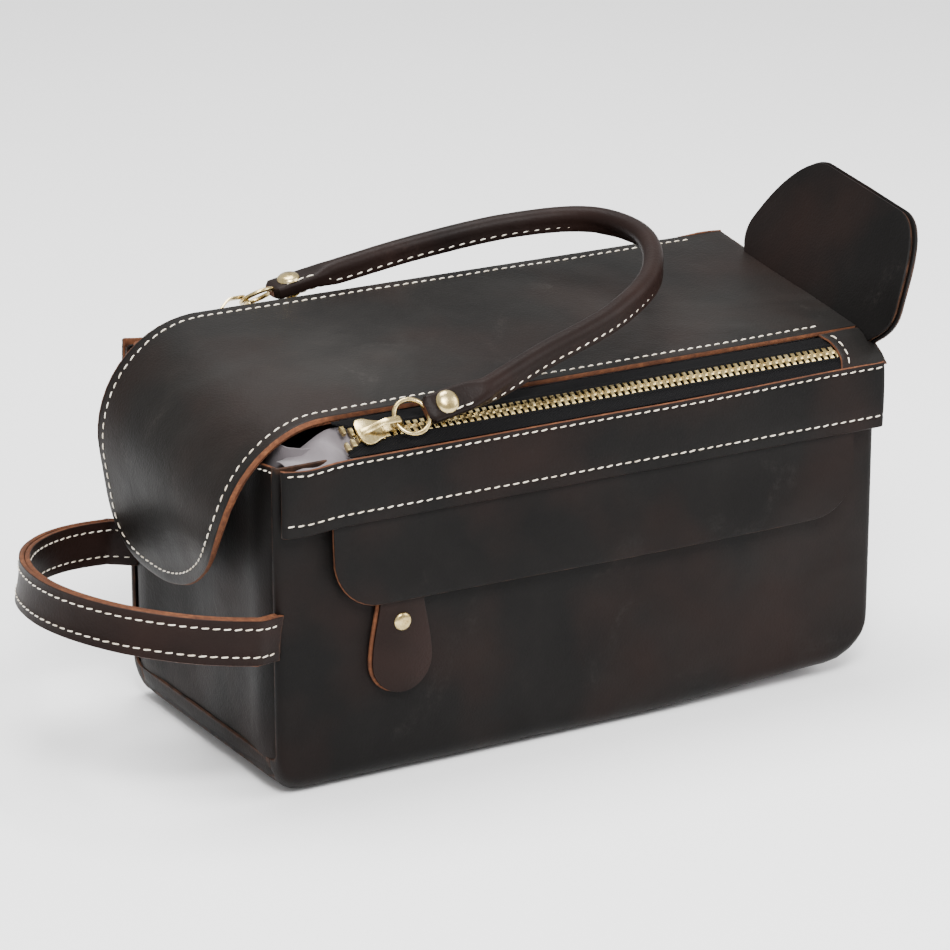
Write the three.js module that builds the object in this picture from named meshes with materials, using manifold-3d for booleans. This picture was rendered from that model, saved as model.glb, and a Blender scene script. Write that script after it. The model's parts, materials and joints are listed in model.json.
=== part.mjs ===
// Leather hanging toiletry bag: a soft box with a lid that rolls over the left end,
// two zips along the top with one rolled strap joining their pulls, a side loop to
// hang it by, a raised tab at the right end and a zipped pocket under a front flap.
// Millimetres. Origin at the centre of the base, +X to the right, +Y to the back, +Z up.

import * as THREE from "three";
import { mergeVertices } from "three/addons/utils/BufferGeometryUtils.js";
import Module from "manifold-3d";

const wasm = await Module();
wasm.setup();

// ---------- driving sizes ----------
const LENGTH = 280;
const DEPTH = 141.6;
const FRONT_TOP = 137;
const BACK_TOP = 154;
const LEATHER = 2;
const LINING = 0.8;
const GAP = 0.3;

const HALF_L = LENGTH / 2;
const HALF_D = DEPTH / 2;
const CURVE_STEPS = 8;

// Leather layers on the front, from the outside in: band, pocket flap, pull tab, panel.
const BAND_T = 1.6;
const FLAP_OUT = -HALF_D + BAND_T + GAP;
const FLAP_IN = FLAP_OUT + BAND_T;
const TAB_OUT = FLAP_IN + GAP;
const TAB_T = 0.9;
const LINK_OUT = TAB_OUT + TAB_T + 0.1;
const LINK_T = 0.5;
const TAB_BACK_OUT = LINK_OUT + LINK_T + 0.1;
const FRONT_OUT = TAB_BACK_OUT + TAB_T + GAP;
const FRONT_IN = FRONT_OUT + LEATHER;
const BACK_OUT = HALF_D - BAND_T - GAP;
const BACK_IN = BACK_OUT - LEATHER;

// The lid is a plane that rises towards the back.
const LID_FRONT = -51;
const LID_BACK = 56;
const LID_FRONT_Z = 149.3;
const LID_RISE = 0.1435;
const LID_T = 2.4;
const LID_END_X = 120.8;
const ROLL_START_X = -112;
const ROLL_R = 46;
const ROLL_SWEEP = THREE.MathUtils.degToRad(138);

// ---------- colours ----------
const COLOURS = {
  leather: [0x35302c, 0.62, 0],
  strapLeather: [0x3c2c26, 0.55, 0],
  rawEdge: [0x8a5230, 0.8, 0],
  lining: [0xa79da4, 0.9, 0],
  tape: [0x17161a, 0.95, 0],
  brass: [0xb9a566, 0.32, 1],
};

const root = new THREE.Group();

function addMesh(name, geometry, look, parent = root) {
  const [color, roughness, metalness] = COLOURS[look];
  const material = new THREE.MeshStandardMaterial({ color, roughness, metalness });
  const mesh = new THREE.Mesh(geometry, material);
  mesh.name = name;
  parent.add(mesh);
  return mesh;
}

// ---------- solids and booleans ----------
function toSolid(geometry) {
  const bare = geometry.clone();
  bare.deleteAttribute("normal");
  bare.deleteAttribute("uv");
  const merged = mergeVertices(bare, 1e-5);
  return new wasm.Manifold(new wasm.Mesh({
    numProp: 3,
    vertProperties: new Float32Array(merged.attributes.position.array),
    triVerts: new Uint32Array(merged.index.array),
  }));
}

function toGeometry(solid) {
  const mesh = solid.getMesh();
  const geometry = new THREE.BufferGeometry();
  geometry.setAttribute("position", new THREE.BufferAttribute(mesh.vertProperties, 3));
  geometry.setIndex(new THREE.BufferAttribute(mesh.triVerts, 1));
  geometry.computeVertexNormals();
  return geometry;
}

function cut(geometry, ...tools) {
  return toGeometry(tools.reduce((solid, tool) => solid.subtract(toSolid(tool)), toSolid(geometry)));
}

function join(geometry, ...others) {
  return toGeometry(others.reduce((solid, other) => solid.add(toSolid(other)), toSolid(geometry)));
}

function common(geometry, other) {
  return toGeometry(toSolid(geometry).intersect(toSolid(other)));
}

function box(x0, x1, y0, y1, z0, z1) {
  const geometry = new THREE.BoxGeometry(x1 - x0, y1 - y0, z1 - z0);
  return geometry.translate((x0 + x1) / 2, (y0 + y1) / 2, (z0 + z1) / 2);
}

function extrude(shape, depth) {
  return new THREE.ExtrudeGeometry(shape, { depth, bevelEnabled: false, curveSegments: CURVE_STEPS });
}

// A plate drawn in X and Z that fills yFrom..yTo.
function uprightPlate(shape, yFrom, yTo) {
  return extrude(shape, yTo - yFrom).rotateX(Math.PI / 2).translate(0, yTo, 0);
}

// A plate drawn in Y and Z that fills xFrom..xTo.
function sidePlate(shape, xFrom, xTo) {
  const turn = new THREE.Matrix4().makeBasis(
    new THREE.Vector3(0, 1, 0), new THREE.Vector3(0, 0, 1), new THREE.Vector3(1, 0, 0));
  return extrude(shape, xTo - xFrom).applyMatrix4(turn).translate(xFrom, 0, 0);
}

// A cylinder along Y.
function pinAlongY(radius, yFrom, yTo, x, z, sides = 16) {
  const pin = new THREE.CylinderGeometry(radius, radius, yTo - yFrom, sides);
  return pin.translate(x, (yFrom + yTo) / 2, z);
}

// A rectangle with its two lower corners rounded, and its top edge z at left and right.
function pocketShape(x0, x1, z0, z1, radius) {
  const shape = new THREE.Shape();
  shape.moveTo(x0, z1);
  shape.lineTo(x0, z0 + radius);
  shape.absarc(x0 + radius, z0 + radius, radius, Math.PI, 1.5 * Math.PI, false);
  shape.absarc(x1 - radius, z0 + radius, radius, 1.5 * Math.PI, 2 * Math.PI, false);
  shape.lineTo(x1, z1);
  shape.closePath();
  return shape;
}

function polygon(points) {
  return new THREE.Shape(points.map(([a, b]) => new THREE.Vector2(a, b)));
}

function rectangle(x0, x1, z0, z1) {
  return polygon([[x0, z0], [x1, z0], [x1, z1], [x0, z1]]);
}

// ---------- body of the bag ----------
const CORNER_R = 14;
const PANEL_FOOT = 0.6;
const GUSSET_SET_IN = 4;
const WINDOW = { x0: -106, x1: 112, z0: 92, z1: 102 };

function addPanels() {
  addMesh("base_panel", box(-HALF_L + 5, HALF_L - 5, FRONT_IN + GAP, BACK_IN - GAP, 0, LEATHER), "leather");

  const front = pocketShape(-HALF_L, HALF_L, PANEL_FOOT, FRONT_TOP - 1, CORNER_R);
  front.holes.push(rectangle(WINDOW.x0, WINDOW.x1, WINDOW.z0, WINDOW.z1));
  addMesh("front_panel", uprightPlate(front, FRONT_OUT, FRONT_IN), "leather");

  const back = pocketShape(-HALF_L, HALF_L, PANEL_FOOT, BACK_TOP - 3, CORNER_R);
  addMesh("back_panel", uprightPlate(back, BACK_IN, BACK_OUT), "leather");

  const gussetTop = 130;
  const gusset = polygon([
    [FRONT_IN + GAP, LEATHER + GAP],
    [BACK_IN - GAP, LEATHER + GAP],
    [BACK_IN - GAP, gussetTop + LID_RISE * (BACK_IN - FRONT_IN)],
    [FRONT_IN + GAP, gussetTop],
  ]);
  const inset = HALF_L - GUSSET_SET_IN;
  addMesh("left_gusset", sidePlate(gusset, -inset, -inset + LEATHER), "leather");
  addMesh("right_gusset", sidePlate(gusset, inset - LEATHER, inset), "leather");
}

const BAND_LOW = 110.5;
const BACK_BAND_H = 26.5;

function addBands() {
  const front = rectangle(-HALF_L, HALF_L, BAND_LOW, FRONT_TOP);
  addMesh("front_band", uprightPlate(front, -HALF_D, -HALF_D + BAND_T), "leather");
  const back = rectangle(-HALF_L, HALF_L, BACK_TOP - BACK_BAND_H, BACK_TOP);
  addMesh("back_band", uprightPlate(back, HALF_D - BAND_T, HALF_D), "leather");
}

const POUCH_WALL = 0.6;
const POUCH_FRONT = FRONT_IN + GAP;
const POUCH_BACK = POUCH_FRONT + 3.1;

function addLinings() {
  const tubOut = {
    x: HALF_L - GUSSET_SET_IN - LEATHER - GAP,
    y0: POUCH_BACK + GAP,
    y1: BACK_IN - GAP,
    z0: LEATHER + GAP,
    z1: 126,
  };
  const tub = box(-tubOut.x, tubOut.x, tubOut.y0, tubOut.y1, tubOut.z0, tubOut.z1);
  const hollow = box(-tubOut.x + LINING, tubOut.x - LINING, tubOut.y0 + LINING, tubOut.y1 - LINING,
    tubOut.z0 + LINING, tubOut.z1 + 1);
  addMesh("lining_tub", cut(tub, hollow), "lining");

  const pouchLow = 40;
  const pouch = polygon([
    [POUCH_FRONT, pouchLow],
    [POUCH_BACK, pouchLow],
    [POUCH_BACK, WINDOW.z1 + 2],
    [POUCH_BACK - POUCH_WALL, WINDOW.z1 + 2],
    [POUCH_BACK - POUCH_WALL, pouchLow + POUCH_WALL],
    [POUCH_FRONT + POUCH_WALL, pouchLow + POUCH_WALL],
    [POUCH_FRONT + POUCH_WALL, WINDOW.z0 - 1],
    [POUCH_FRONT, WINDOW.z0 - 1],
  ]);
  addMesh("pocket_lining", sidePlate(pouch, WINDOW.x0 - 2, WINDOW.x1 + 2), "lining");
}

// ---------- lid ----------
// Slides a geometry up with y so that it follows the lid's slope.
function slopeWithLid(geometry) {
  const matrix = new THREE.Matrix4();
  matrix.elements[6] = LID_RISE;
  return geometry.applyMatrix4(matrix).translate(0, 0, -LID_RISE * LID_FRONT);
}

// The strip between two depths under the lid's top face, from x1 back to x0 and round the roll.
function rollProfile(x0, x1, depthTop, depthUnder, sweep) {
  const centreZ = LID_FRONT_Z - ROLL_R;
  const shape = new THREE.Shape();
  shape.moveTo(x1, LID_FRONT_Z - depthTop);
  shape.lineTo(x0, LID_FRONT_Z - depthTop);
  if (sweep > 0) {
    const start = Math.PI / 2;
    shape.absarc(x0, centreZ, ROLL_R - depthTop, start, start + sweep, false);
    shape.absarc(x0, centreZ, ROLL_R - depthUnder, start + sweep, start, true);
  } else {
    shape.lineTo(x0, LID_FRONT_Z - depthUnder);
  }
  shape.lineTo(x1, LID_FRONT_Z - depthUnder);
  shape.closePath();
  return shape;
}

function lidStrip(x0, x1, y0, y1, depthTop, depthUnder, sweep) {
  const profile = rollProfile(x0, x1, depthTop, depthUnder, sweep);
  const options = { depth: y1 - y0, bevelEnabled: false, curveSegments: 3 * CURVE_STEPS };
  const strip = new THREE.ExtrudeGeometry(profile, options).rotateX(Math.PI / 2).translate(0, y1, 0);
  return slopeWithLid(strip);
}

// Rounds the hanging end of the lid, seen from the left.
function tongueWindow(inset) {
  const tongueLow = 72;
  const tongueR = 44;
  const outline = pocketShape(LID_FRONT + inset, LID_BACK - inset, tongueLow + inset, 260, tongueR);
  return sidePlate(outline, -HALF_L - 80, HALF_L + 10);
}

function addLid() {
  const outer = lidStrip(ROLL_START_X, LID_END_X, LID_FRONT, LID_BACK, 0, LID_T, ROLL_SWEEP);
  addMesh("lid_outer", common(outer, tongueWindow(0)), "leather");

  const backingTop = LID_T + GAP;
  const backing = lidStrip(ROLL_START_X, ROLL_START_X + 8, LID_FRONT + 1, LID_BACK - 1,
    backingTop, backingTop + 1.4, ROLL_SWEEP);
  addMesh("tongue_backing", common(backing, tongueWindow(1)), "leather");

  const lining = lidStrip(ROLL_START_X + 8 + GAP, LID_END_X - 2, LID_FRONT + 1, LID_BACK - 1,
    backingTop, backingTop + LINING, 0);
  addMesh("lid_lining", lining, "lining");

  const endPanel = lidStrip(LID_END_X + GAP, HALF_L - 1, LID_FRONT, LID_BACK, 0, LID_T, 0);
  addMesh("top_end_panel", endPanel, "leather");
}

// ---------- zips ----------
// A zip lies in its own frame: x along the zip, y across it, z out of the bag.
const TOOTH = { pitch: 3.1, width: 1.7, tip: 0.65, root: 2.9, cord: 4.3, height: 2.2 };
const TAPE_T = 0.8;
const ZIP_END_X = LID_END_X - 0.5;
const FRONT_ZIP = {
  y: -60.2,
  z: 142.3,
  angle: THREE.MathUtils.degToRad(32.4),
  bagSide: -1,
  bagEdge: 9.8,
  lidEdge: 9.3,
  arch: 4.7,
  eyeDrop: 1.3,
};
const BACK_ZIP = {
  y: 63.3,
  z: 157.2,
  angle: THREE.MathUtils.degToRad(-40.3),
  bagSide: 1,
  bagEdge: 6.8,
  lidEdge: 8.2,
  arch: 8.4,
  eyeDrop: 3.0,
};

// One row of teeth standing on its cord, on the +1 or -1 side of the zip.
function toothRow(x0, x1, side) {
  const tooth = TOOTH;
  const count = Math.floor((x1 - x0) / tooth.pitch);
  const shape = new THREE.Shape();
  shape.moveTo(x0, side * tooth.root);
  for (let i = 0; i < count; i += 1) {
    const x = x0 + (i + 0.25) * tooth.pitch;
    shape.lineTo(x, side * tooth.root);
    shape.lineTo(x, side * tooth.tip);
    shape.lineTo(x + tooth.width, side * tooth.tip);
    shape.lineTo(x + tooth.width, side * tooth.root);
  }
  shape.lineTo(x1, side * tooth.root);
  shape.lineTo(x1, side * tooth.cord);
  shape.lineTo(x0, side * tooth.cord);
  shape.closePath();
  return extrude(shape, tooth.height).translate(0, 0, -tooth.height / 2);
}

function tapeStrip(x0, x1, side, from, to) {
  const low = Math.min(side * from, side * to);
  const high = Math.max(side * from, side * to);
  return box(x0, x1, low, high, -TAPE_T / 2, TAPE_T / 2);
}

function zipFrame(zip) {
  const group = new THREE.Group();
  group.position.set(0, zip.y, zip.z);
  group.rotation.x = zip.angle;
  root.add(group);
  return group;
}

function addZip(label, zip, frame) {
  const bagX = -130;
  const lidX = -108;
  const tapeFrom = TOOTH.cord + GAP;
  const lidSide = -zip.bagSide;
  addMesh(`${label}_teeth_lower`, toothRow(bagX, ZIP_END_X, zip.bagSide), "brass", frame);
  addMesh(`${label}_teeth_upper`, toothRow(lidX, ZIP_END_X, lidSide), "brass", frame);
  const bagTape = tapeStrip(bagX, ZIP_END_X, zip.bagSide, tapeFrom, zip.bagEdge);
  const lidTape = tapeStrip(lidX, ZIP_END_X, lidSide, tapeFrom, zip.lidEdge);
  addMesh(`${label}_tape_lower`, bagTape, "tape", frame);
  addMesh(`${label}_tape_upper`, lidTape, "tape", frame);
  const low = zip.bagSide > 0 ? -zip.lidEdge : -zip.bagEdge;
  const high = zip.bagSide > 0 ? zip.bagEdge : zip.lidEdge;
  const patch = box(LID_END_X + GAP, HALF_L - 1, low, high, -0.9, 0.9);
  addMesh(`${label}_end_patch`, patch, "leather", frame);
}

// ---------- sliders and rings ----------
const SLIDER_X = -96;
const SLIDER = { length: 11, width: 11, gap: 1.4, plate: 1.2, post: 0.7, tail: 7, tailWidth: 4.4 };
const ARCH = { length: 7.6, wall: 1.3, width: 1.8 };
const RING = { radius: 7, wire: 0.7 };
const SLIDER_NOSE_X = SLIDER_X - SLIDER.length / 2;
const SLIDER_TAIL_X = SLIDER_NOSE_X + SLIDER.length + SLIDER.tail;
const PIVOT_X = SLIDER_TAIL_X - ARCH.wall - 1.2;

// A plate over both tooth rows, a half plate under the lid's row, a thin nose between the rows
// and an arch on a narrow tail. The bag's row stays free underneath, so the lid can lift away.
function slider(zip) {
  const { length, width, gap, plate, post, tailWidth } = SLIDER;
  const lidSide = -zip.bagSide;
  const underEdges = [-lidSide * post / 2, lidSide * width / 2];
  const plateEnd = SLIDER_NOSE_X + length;
  const face = gap + plate;
  const top = box(SLIDER_NOSE_X, plateEnd, -width / 2, width / 2, gap, face);
  const under = box(SLIDER_NOSE_X, plateEnd, Math.min(...underEdges), Math.max(...underEdges), -face, -gap);
  const nose = box(SLIDER_NOSE_X, SLIDER_NOSE_X + 4, -post / 2, post / 2, -gap - plate / 2, gap + plate / 2);
  const tail = box(plateEnd - 2, SLIDER_TAIL_X, -tailWidth / 2, tailWidth / 2, gap, face);
  const archX = SLIDER_TAIL_X - ARCH.length;
  const arch = box(archX, SLIDER_TAIL_X, -ARCH.width / 2, ARCH.width / 2, face - 0.4, face + zip.arch);
  const eye = box(archX + ARCH.wall, SLIDER_TAIL_X - ARCH.wall, -ARCH.width, ARCH.width,
    face + 0.1, face + zip.arch - ARCH.wall);
  return join(top, under, nose, tail, cut(arch, eye));
}

// Where a slider's pull eye is, in the bag's frame.
function eyePoint(zip) {
  const height = SLIDER.gap + SLIDER.plate + zip.arch - ARCH.wall - zip.eyeDrop;
  const eye = new THREE.Vector3(PIVOT_X, 0, height);
  eye.applyAxisAngle(new THREE.Vector3(1, 0, 0), zip.angle);
  return eye.add(new THREE.Vector3(0, zip.y, zip.z));
}

const FRONT_EYE = eyePoint(FRONT_ZIP);
const BACK_EYE = eyePoint(BACK_ZIP);

// ---------- strap ----------
// The strap's frame: x along the strap, y from the front ring to the back ring.
const STRAP_TILT = THREE.MathUtils.degToRad(11);
const STRAP = { radius: 4.7, wall: 1.6, endWidth: 6.4, endWall: 1.6, endInner: 1.7, endLength: 24 };
const RING_FAR = 2 * RING.radius;
const RIVET_AT = RING_FAR + 8.5;
const HALF_SPAN = FRONT_EYE.distanceTo(BACK_EYE) / 2;

function strapFrame() {
  const across = BACK_EYE.clone().sub(FRONT_EYE).normalize();
  const along = new THREE.Vector3(Math.cos(STRAP_TILT), 0, Math.sin(STRAP_TILT));
  const up = new THREE.Vector3().crossVectors(along, across).normalize();
  along.crossVectors(across, up);
  const group = new THREE.Group();
  group.quaternion.setFromRotationMatrix(new THREE.Matrix4().makeBasis(along, across, up));
  group.position.copy(FRONT_EYE).add(BACK_EYE).multiplyScalar(0.5);
  root.add(group);
  return group;
}

// The flat end of the strap, folded round a ring and riveted.
function strapEnd(y) {
  const { endInner, endWall, endLength, endWidth } = STRAP;
  const centre = RING_FAR - 0.5;
  const outerR = endInner + endWall;
  const shape = new THREE.Shape();
  shape.moveTo(centre + endLength, -outerR);
  shape.lineTo(centre + endLength, -endInner);
  shape.lineTo(centre, -endInner);
  shape.absarc(centre, 0, endInner, 1.5 * Math.PI, 0.5 * Math.PI, true);
  shape.lineTo(centre + endLength, endInner);
  shape.lineTo(centre + endLength, outerR);
  shape.lineTo(centre, outerR);
  shape.absarc(centre, 0, outerR, 0.5 * Math.PI, 1.5 * Math.PI, false);
  shape.closePath();
  const fold = uprightPlate(shape, y - endWidth / 2, y + endWidth / 2);
  const hole = new THREE.CylinderGeometry(1.6, 1.6, 20, 16).rotateX(Math.PI / 2).translate(RIVET_AT, y, 0);
  return cut(fold, hole);
}

// A cap rivet through the fold: two domed caps on one shank, turned about Z.
function strapRivet(y) {
  const face = STRAP.endInner + STRAP.endWall + 0.1;
  const cap = 4.7;
  const dome = 1.5;
  const profile = new THREE.Path();
  profile.moveTo(0, -face - dome);
  profile.quadraticCurveTo(cap, -face - dome, cap, -face);
  profile.lineTo(1.3, -face);
  profile.lineTo(1.3, face);
  profile.lineTo(cap, face);
  profile.quadraticCurveTo(cap, face + dome, 0, face + dome);
  const rivet = new THREE.LatheGeometry(profile.getPoints(4), 16).rotateX(Math.PI / 2);
  return rivet.translate(RIVET_AT, y, 0);
}

// The rolled part of the strap, as a loop from one end fold to the other.
function strapCurve() {
  const start = RING_FAR - 0.5 + STRAP.endLength + 5 * GAP;
  const points = [
    [start, -HALF_SPAN], [70, -56], [112, -45], [142, -25], [157, 6],
    [150, 34], [122, 52], [80, 62], [start, HALF_SPAN],
  ];
  return new THREE.CatmullRomCurve3(points.map(([x, y]) => new THREE.Vector3(x, y, 0)), false, "centripetal");
}

function ringShape(outer, inner) {
  const shape = new THREE.Shape().absarc(0, 0, outer, 0, 2 * Math.PI, false);
  if (inner > 0) {
    shape.holes.push(new THREE.Path().absarc(0, 0, inner, 0, 2 * Math.PI, true));
  }
  return shape;
}

function tubeAlong(curve, outer, inner, sides, steps) {
  const options = { steps, curveSegments: sides, bevelEnabled: false, extrudePath: curve };
  return new THREE.ExtrudeGeometry(ringShape(outer, inner), options);
}

function addSlidersAndStrap(frontFrame, backFrame) {
  addMesh("front_slider", slider(FRONT_ZIP), "brass", frontFrame);
  addMesh("back_slider", slider(BACK_ZIP), "brass", backFrame);

  const frame = strapFrame();
  const curve = strapCurve();
  const hollow = STRAP.radius - STRAP.wall;
  addMesh("strap_cover", tubeAlong(curve, STRAP.radius, hollow, 10, 30), "strapLeather", frame);
  addMesh("strap_core", tubeAlong(curve, hollow - GAP, 0, 6, 30), "lining", frame);
  for (const [label, y] of [["front", -HALF_SPAN], ["back", HALF_SPAN]]) {
    const ring = new THREE.TorusGeometry(RING.radius, RING.wire, 8, 24).translate(RING.radius, y, 0);
    addMesh(`${label}_ring`, ring, "brass", frame);
    addMesh(`strap_end_${label}`, strapEnd(y), "strapLeather", frame);
    addMesh(`strap_rivet_${label}`, strapRivet(y), "brass", frame);
  }
}

// ---------- raised tab at the right end ----------
const TAB_HINGE = new THREE.Vector3(HALF_L + 2.5, -15, 152);
const TAB_SLOPE = Math.atan(LID_RISE);
const TAB_LEAN = THREE.MathUtils.degToRad(65);

// Drawn from its root upwards, x across the bag.
function endTabShape(rootHalf, topHalf, height, radius) {
  const shape = new THREE.Shape();
  shape.moveTo(-rootHalf, 1);
  shape.lineTo(rootHalf, 1);
  shape.lineTo(topHalf, height - radius);
  shape.quadraticCurveTo(topHalf - 3, height, topHalf - radius, height);
  shape.lineTo(-topHalf + radius, height);
  shape.quadraticCurveTo(-topHalf + 3, height, -topHalf, height - radius);
  shape.closePath();
  return shape;
}

function addEndTab() {
  const group = new THREE.Group();
  const across = new THREE.Vector3(0, Math.cos(TAB_SLOPE), Math.sin(TAB_SLOPE));
  const along = new THREE.Vector3(Math.cos(TAB_LEAN), 0, Math.sin(TAB_LEAN));
  const out = new THREE.Vector3().crossVectors(across, along).normalize();
  along.crossVectors(out, across);
  group.quaternion.setFromRotationMatrix(new THREE.Matrix4().makeBasis(across, along, out));
  group.position.copy(TAB_HINGE);
  root.add(group);
  const thick = 1.8;
  const outer = extrude(endTabShape(57, 49, 54, 30), thick).translate(0, 0, 0.15);
  const inner = extrude(endTabShape(56, 48, 53, 30), thick).translate(0, 0, -0.15 - thick);
  addMesh("end_tab_outer", outer, "leather", group);
  addMesh("end_tab_inner", inner, "leather", group);
}

// ---------- side loop handle ----------
const HANDLE = { z: 68, width: 18, layer: 2.1, reachX: 69.5, reachY: HALF_D - 0.5, hinge: -HALF_L };
const HANDLE_CLEAR = 4.5;

function handleLayer(inset) {
  const rx = HANDLE.reachX - inset;
  const ry = HANDLE.reachY - inset;
  const shape = new THREE.Shape();
  shape.absellipse(-HANDLE_CLEAR, 0, rx, ry, 0.5 * Math.PI, 1.5 * Math.PI, false, 0);
  const innerRx = rx - HANDLE.layer;
  const innerRy = ry - HANDLE.layer;
  shape.absellipse(-HANDLE_CLEAR, 0, innerRx, innerRy, 1.5 * Math.PI, 0.5 * Math.PI, true, 0);
  shape.closePath();
  const options = { depth: HANDLE.width, bevelEnabled: false, curveSegments: 3 * CURVE_STEPS };
  return new THREE.ExtrudeGeometry(shape, options).translate(0, 0, -HANDLE.width / 2);
}

function addHandle() {
  const group = new THREE.Group();
  group.position.set(HANDLE.hinge, 0, HANDLE.z);
  group.rotation.y = THREE.MathUtils.degToRad(7);
  root.add(group);
  addMesh("handle_outer", handleLayer(0), "leather", group);
  addMesh("handle_inner", handleLayer(HANDLE.layer + GAP), "leather", group);
}

// ---------- front pocket ----------
const POCKET_ZIP_Z = (WINDOW.z0 + WINDOW.z1) / 2;
const COIL = { inner: 0.5, outer: 2.2, height: 1.4 };
const POCKET_ZIP_Y = FRONT_OUT + 0.95;
const PULL_X = -87;
const PULL_LOW = 37;
const PULL_TOP = 88;
const PULL_RIVET_Z = 66.5;

// A straight strip of the pocket's zip, above (+1) or below (-1) its middle.
function pocketStrip(x0, x1, side, from, to, thickness) {
  const low = POCKET_ZIP_Z + Math.min(side * from, side * to);
  const high = POCKET_ZIP_Z + Math.max(side * from, side * to);
  return box(x0, x1, POCKET_ZIP_Y - thickness / 2, POCKET_ZIP_Y + thickness / 2, low, high);
}

function addPocketZip() {
  const x0 = WINDOW.x0 + 1;
  const x1 = WINDOW.x1 - 1;
  for (const [label, side] of [["upper", 1], ["lower", -1]]) {
    const halfWindow = (WINDOW.z1 - WINDOW.z0) / 2;
    const coil = pocketStrip(x0, x1, side, COIL.inner, COIL.outer, COIL.height);
    const tape = pocketStrip(x0, x1, side, COIL.outer + GAP, halfWindow - GAP, 0.7);
    addMesh(`pocket_coil_${label}`, coil, "tape");
    addMesh(`pocket_tape_${label}`, tape, "tape");
  }
}

function addPocketSlider() {
  const half = 4;
  const plate = 0.8;
  const gap = COIL.height / 2 + 0.25;
  const x0 = PULL_X - half;
  const x1 = PULL_X + half;
  const z0 = POCKET_ZIP_Z - half;
  const z1 = POCKET_ZIP_Z + half;
  const outPlate = box(x0, x1, POCKET_ZIP_Y - gap - plate, POCKET_ZIP_Y - gap, z0, z1);
  const inPlate = box(x0, x1, POCKET_ZIP_Y + gap, POCKET_ZIP_Y + gap + plate, z0, z1);
  const post = box(x0, x0 + 2.5, POCKET_ZIP_Y - gap - plate / 2, POCKET_ZIP_Y + gap + plate / 2,
    POCKET_ZIP_Z - 0.3, POCKET_ZIP_Z + 0.3);
  const peg = pinAlongY(1, LINK_OUT - 0.2, POCKET_ZIP_Y - gap - plate / 2, PULL_X, POCKET_ZIP_Z);
  addMesh("pocket_slider", join(outPlate, inPlate, post, peg), "brass");

  const link = new THREE.Shape();
  const linkHalf = 2.6;
  link.moveTo(PULL_X + linkHalf, PULL_RIVET_Z);
  link.lineTo(PULL_X + linkHalf, POCKET_ZIP_Z);
  link.absarc(PULL_X, POCKET_ZIP_Z, linkHalf, 0, Math.PI, false);
  link.lineTo(PULL_X - linkHalf, PULL_RIVET_Z);
  link.absarc(PULL_X, PULL_RIVET_Z, linkHalf, Math.PI, 2 * Math.PI, false);
  link.holes.push(new THREE.Path().absarc(PULL_X, POCKET_ZIP_Z, 1.3, 0, 2 * Math.PI, true));
  link.holes.push(new THREE.Path().absarc(PULL_X, PULL_RIVET_Z, 1.5, 0, 2 * Math.PI, true));
  addMesh("pocket_link", uprightPlate(link, LINK_OUT, LINK_OUT + LINK_T), "brass");
}

// A teardrop: narrow at the top, widest near its round foot.
function pullTabShape() {
  const topHalf = 9;
  const wideHalf = 13.2;
  const wideZ = PULL_LOW + wideHalf;
  const shape = new THREE.Shape();
  shape.moveTo(PULL_X - topHalf, PULL_TOP);
  shape.quadraticCurveTo(PULL_X - topHalf, wideZ + 18, PULL_X - wideHalf, wideZ);
  shape.absarc(PULL_X, wideZ, wideHalf, Math.PI, 2 * Math.PI, false);
  shape.quadraticCurveTo(PULL_X + topHalf, wideZ + 18, PULL_X + topHalf, PULL_TOP);
  shape.closePath();
  shape.holes.push(new THREE.Path().absarc(PULL_X, PULL_RIVET_Z, 1.5, 0, 2 * Math.PI, true));
  return shape;
}

function addPullTab() {
  addMesh("pull_tab_front", uprightPlate(pullTabShape(), TAB_OUT, TAB_OUT + TAB_T), "strapLeather");
  addMesh("pull_tab_back", uprightPlate(pullTabShape(), TAB_BACK_OUT, TAB_BACK_OUT + TAB_T), "rawEdge");
  const cap = 3.3;
  const shank = 1.2;
  const dome = 1.2;
  const length = TAB_BACK_OUT + TAB_T - TAB_OUT + 0.1;
  const profile = new THREE.Path();
  profile.moveTo(0, 0);
  profile.lineTo(shank, 0);
  profile.lineTo(shank, length);
  profile.lineTo(cap, length);
  profile.quadraticCurveTo(cap, length + dome, 0, length + dome);
  const rivet = new THREE.LatheGeometry(profile.getPoints(4), 16).rotateX(Math.PI);
  rivet.translate(PULL_X, TAB_BACK_OUT + TAB_T, PULL_RIVET_Z);
  addMesh("pull_tab_rivet", rivet, "brass");
}

function addPocketFlap() {
  const shape = pocketShape(-117, 126, 76, BAND_LOW - GAP, 20);
  addMesh("pocket_flap", uprightPlate(shape, FLAP_OUT, FLAP_IN), "leather");
}

addPanels();
addBands();
addLinings();
addLid();
const frontFrame = zipFrame(FRONT_ZIP);
const backFrame = zipFrame(BACK_ZIP);
addZip("front", FRONT_ZIP, frontFrame);
addZip("back", BACK_ZIP, backFrame);
addSlidersAndStrap(frontFrame, backFrame);
addEndTab();
addHandle();
addPocketZip();
addPocketSlider();
addPullTab();
addPocketFlap();

export default root;
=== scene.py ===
"""A dark brown leather hanging toiletry bag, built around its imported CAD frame. Lengths in this
script are millimetres in the CAD frame and are turned into metres when a mesh is made."""
import functools
import json
import math

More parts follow.
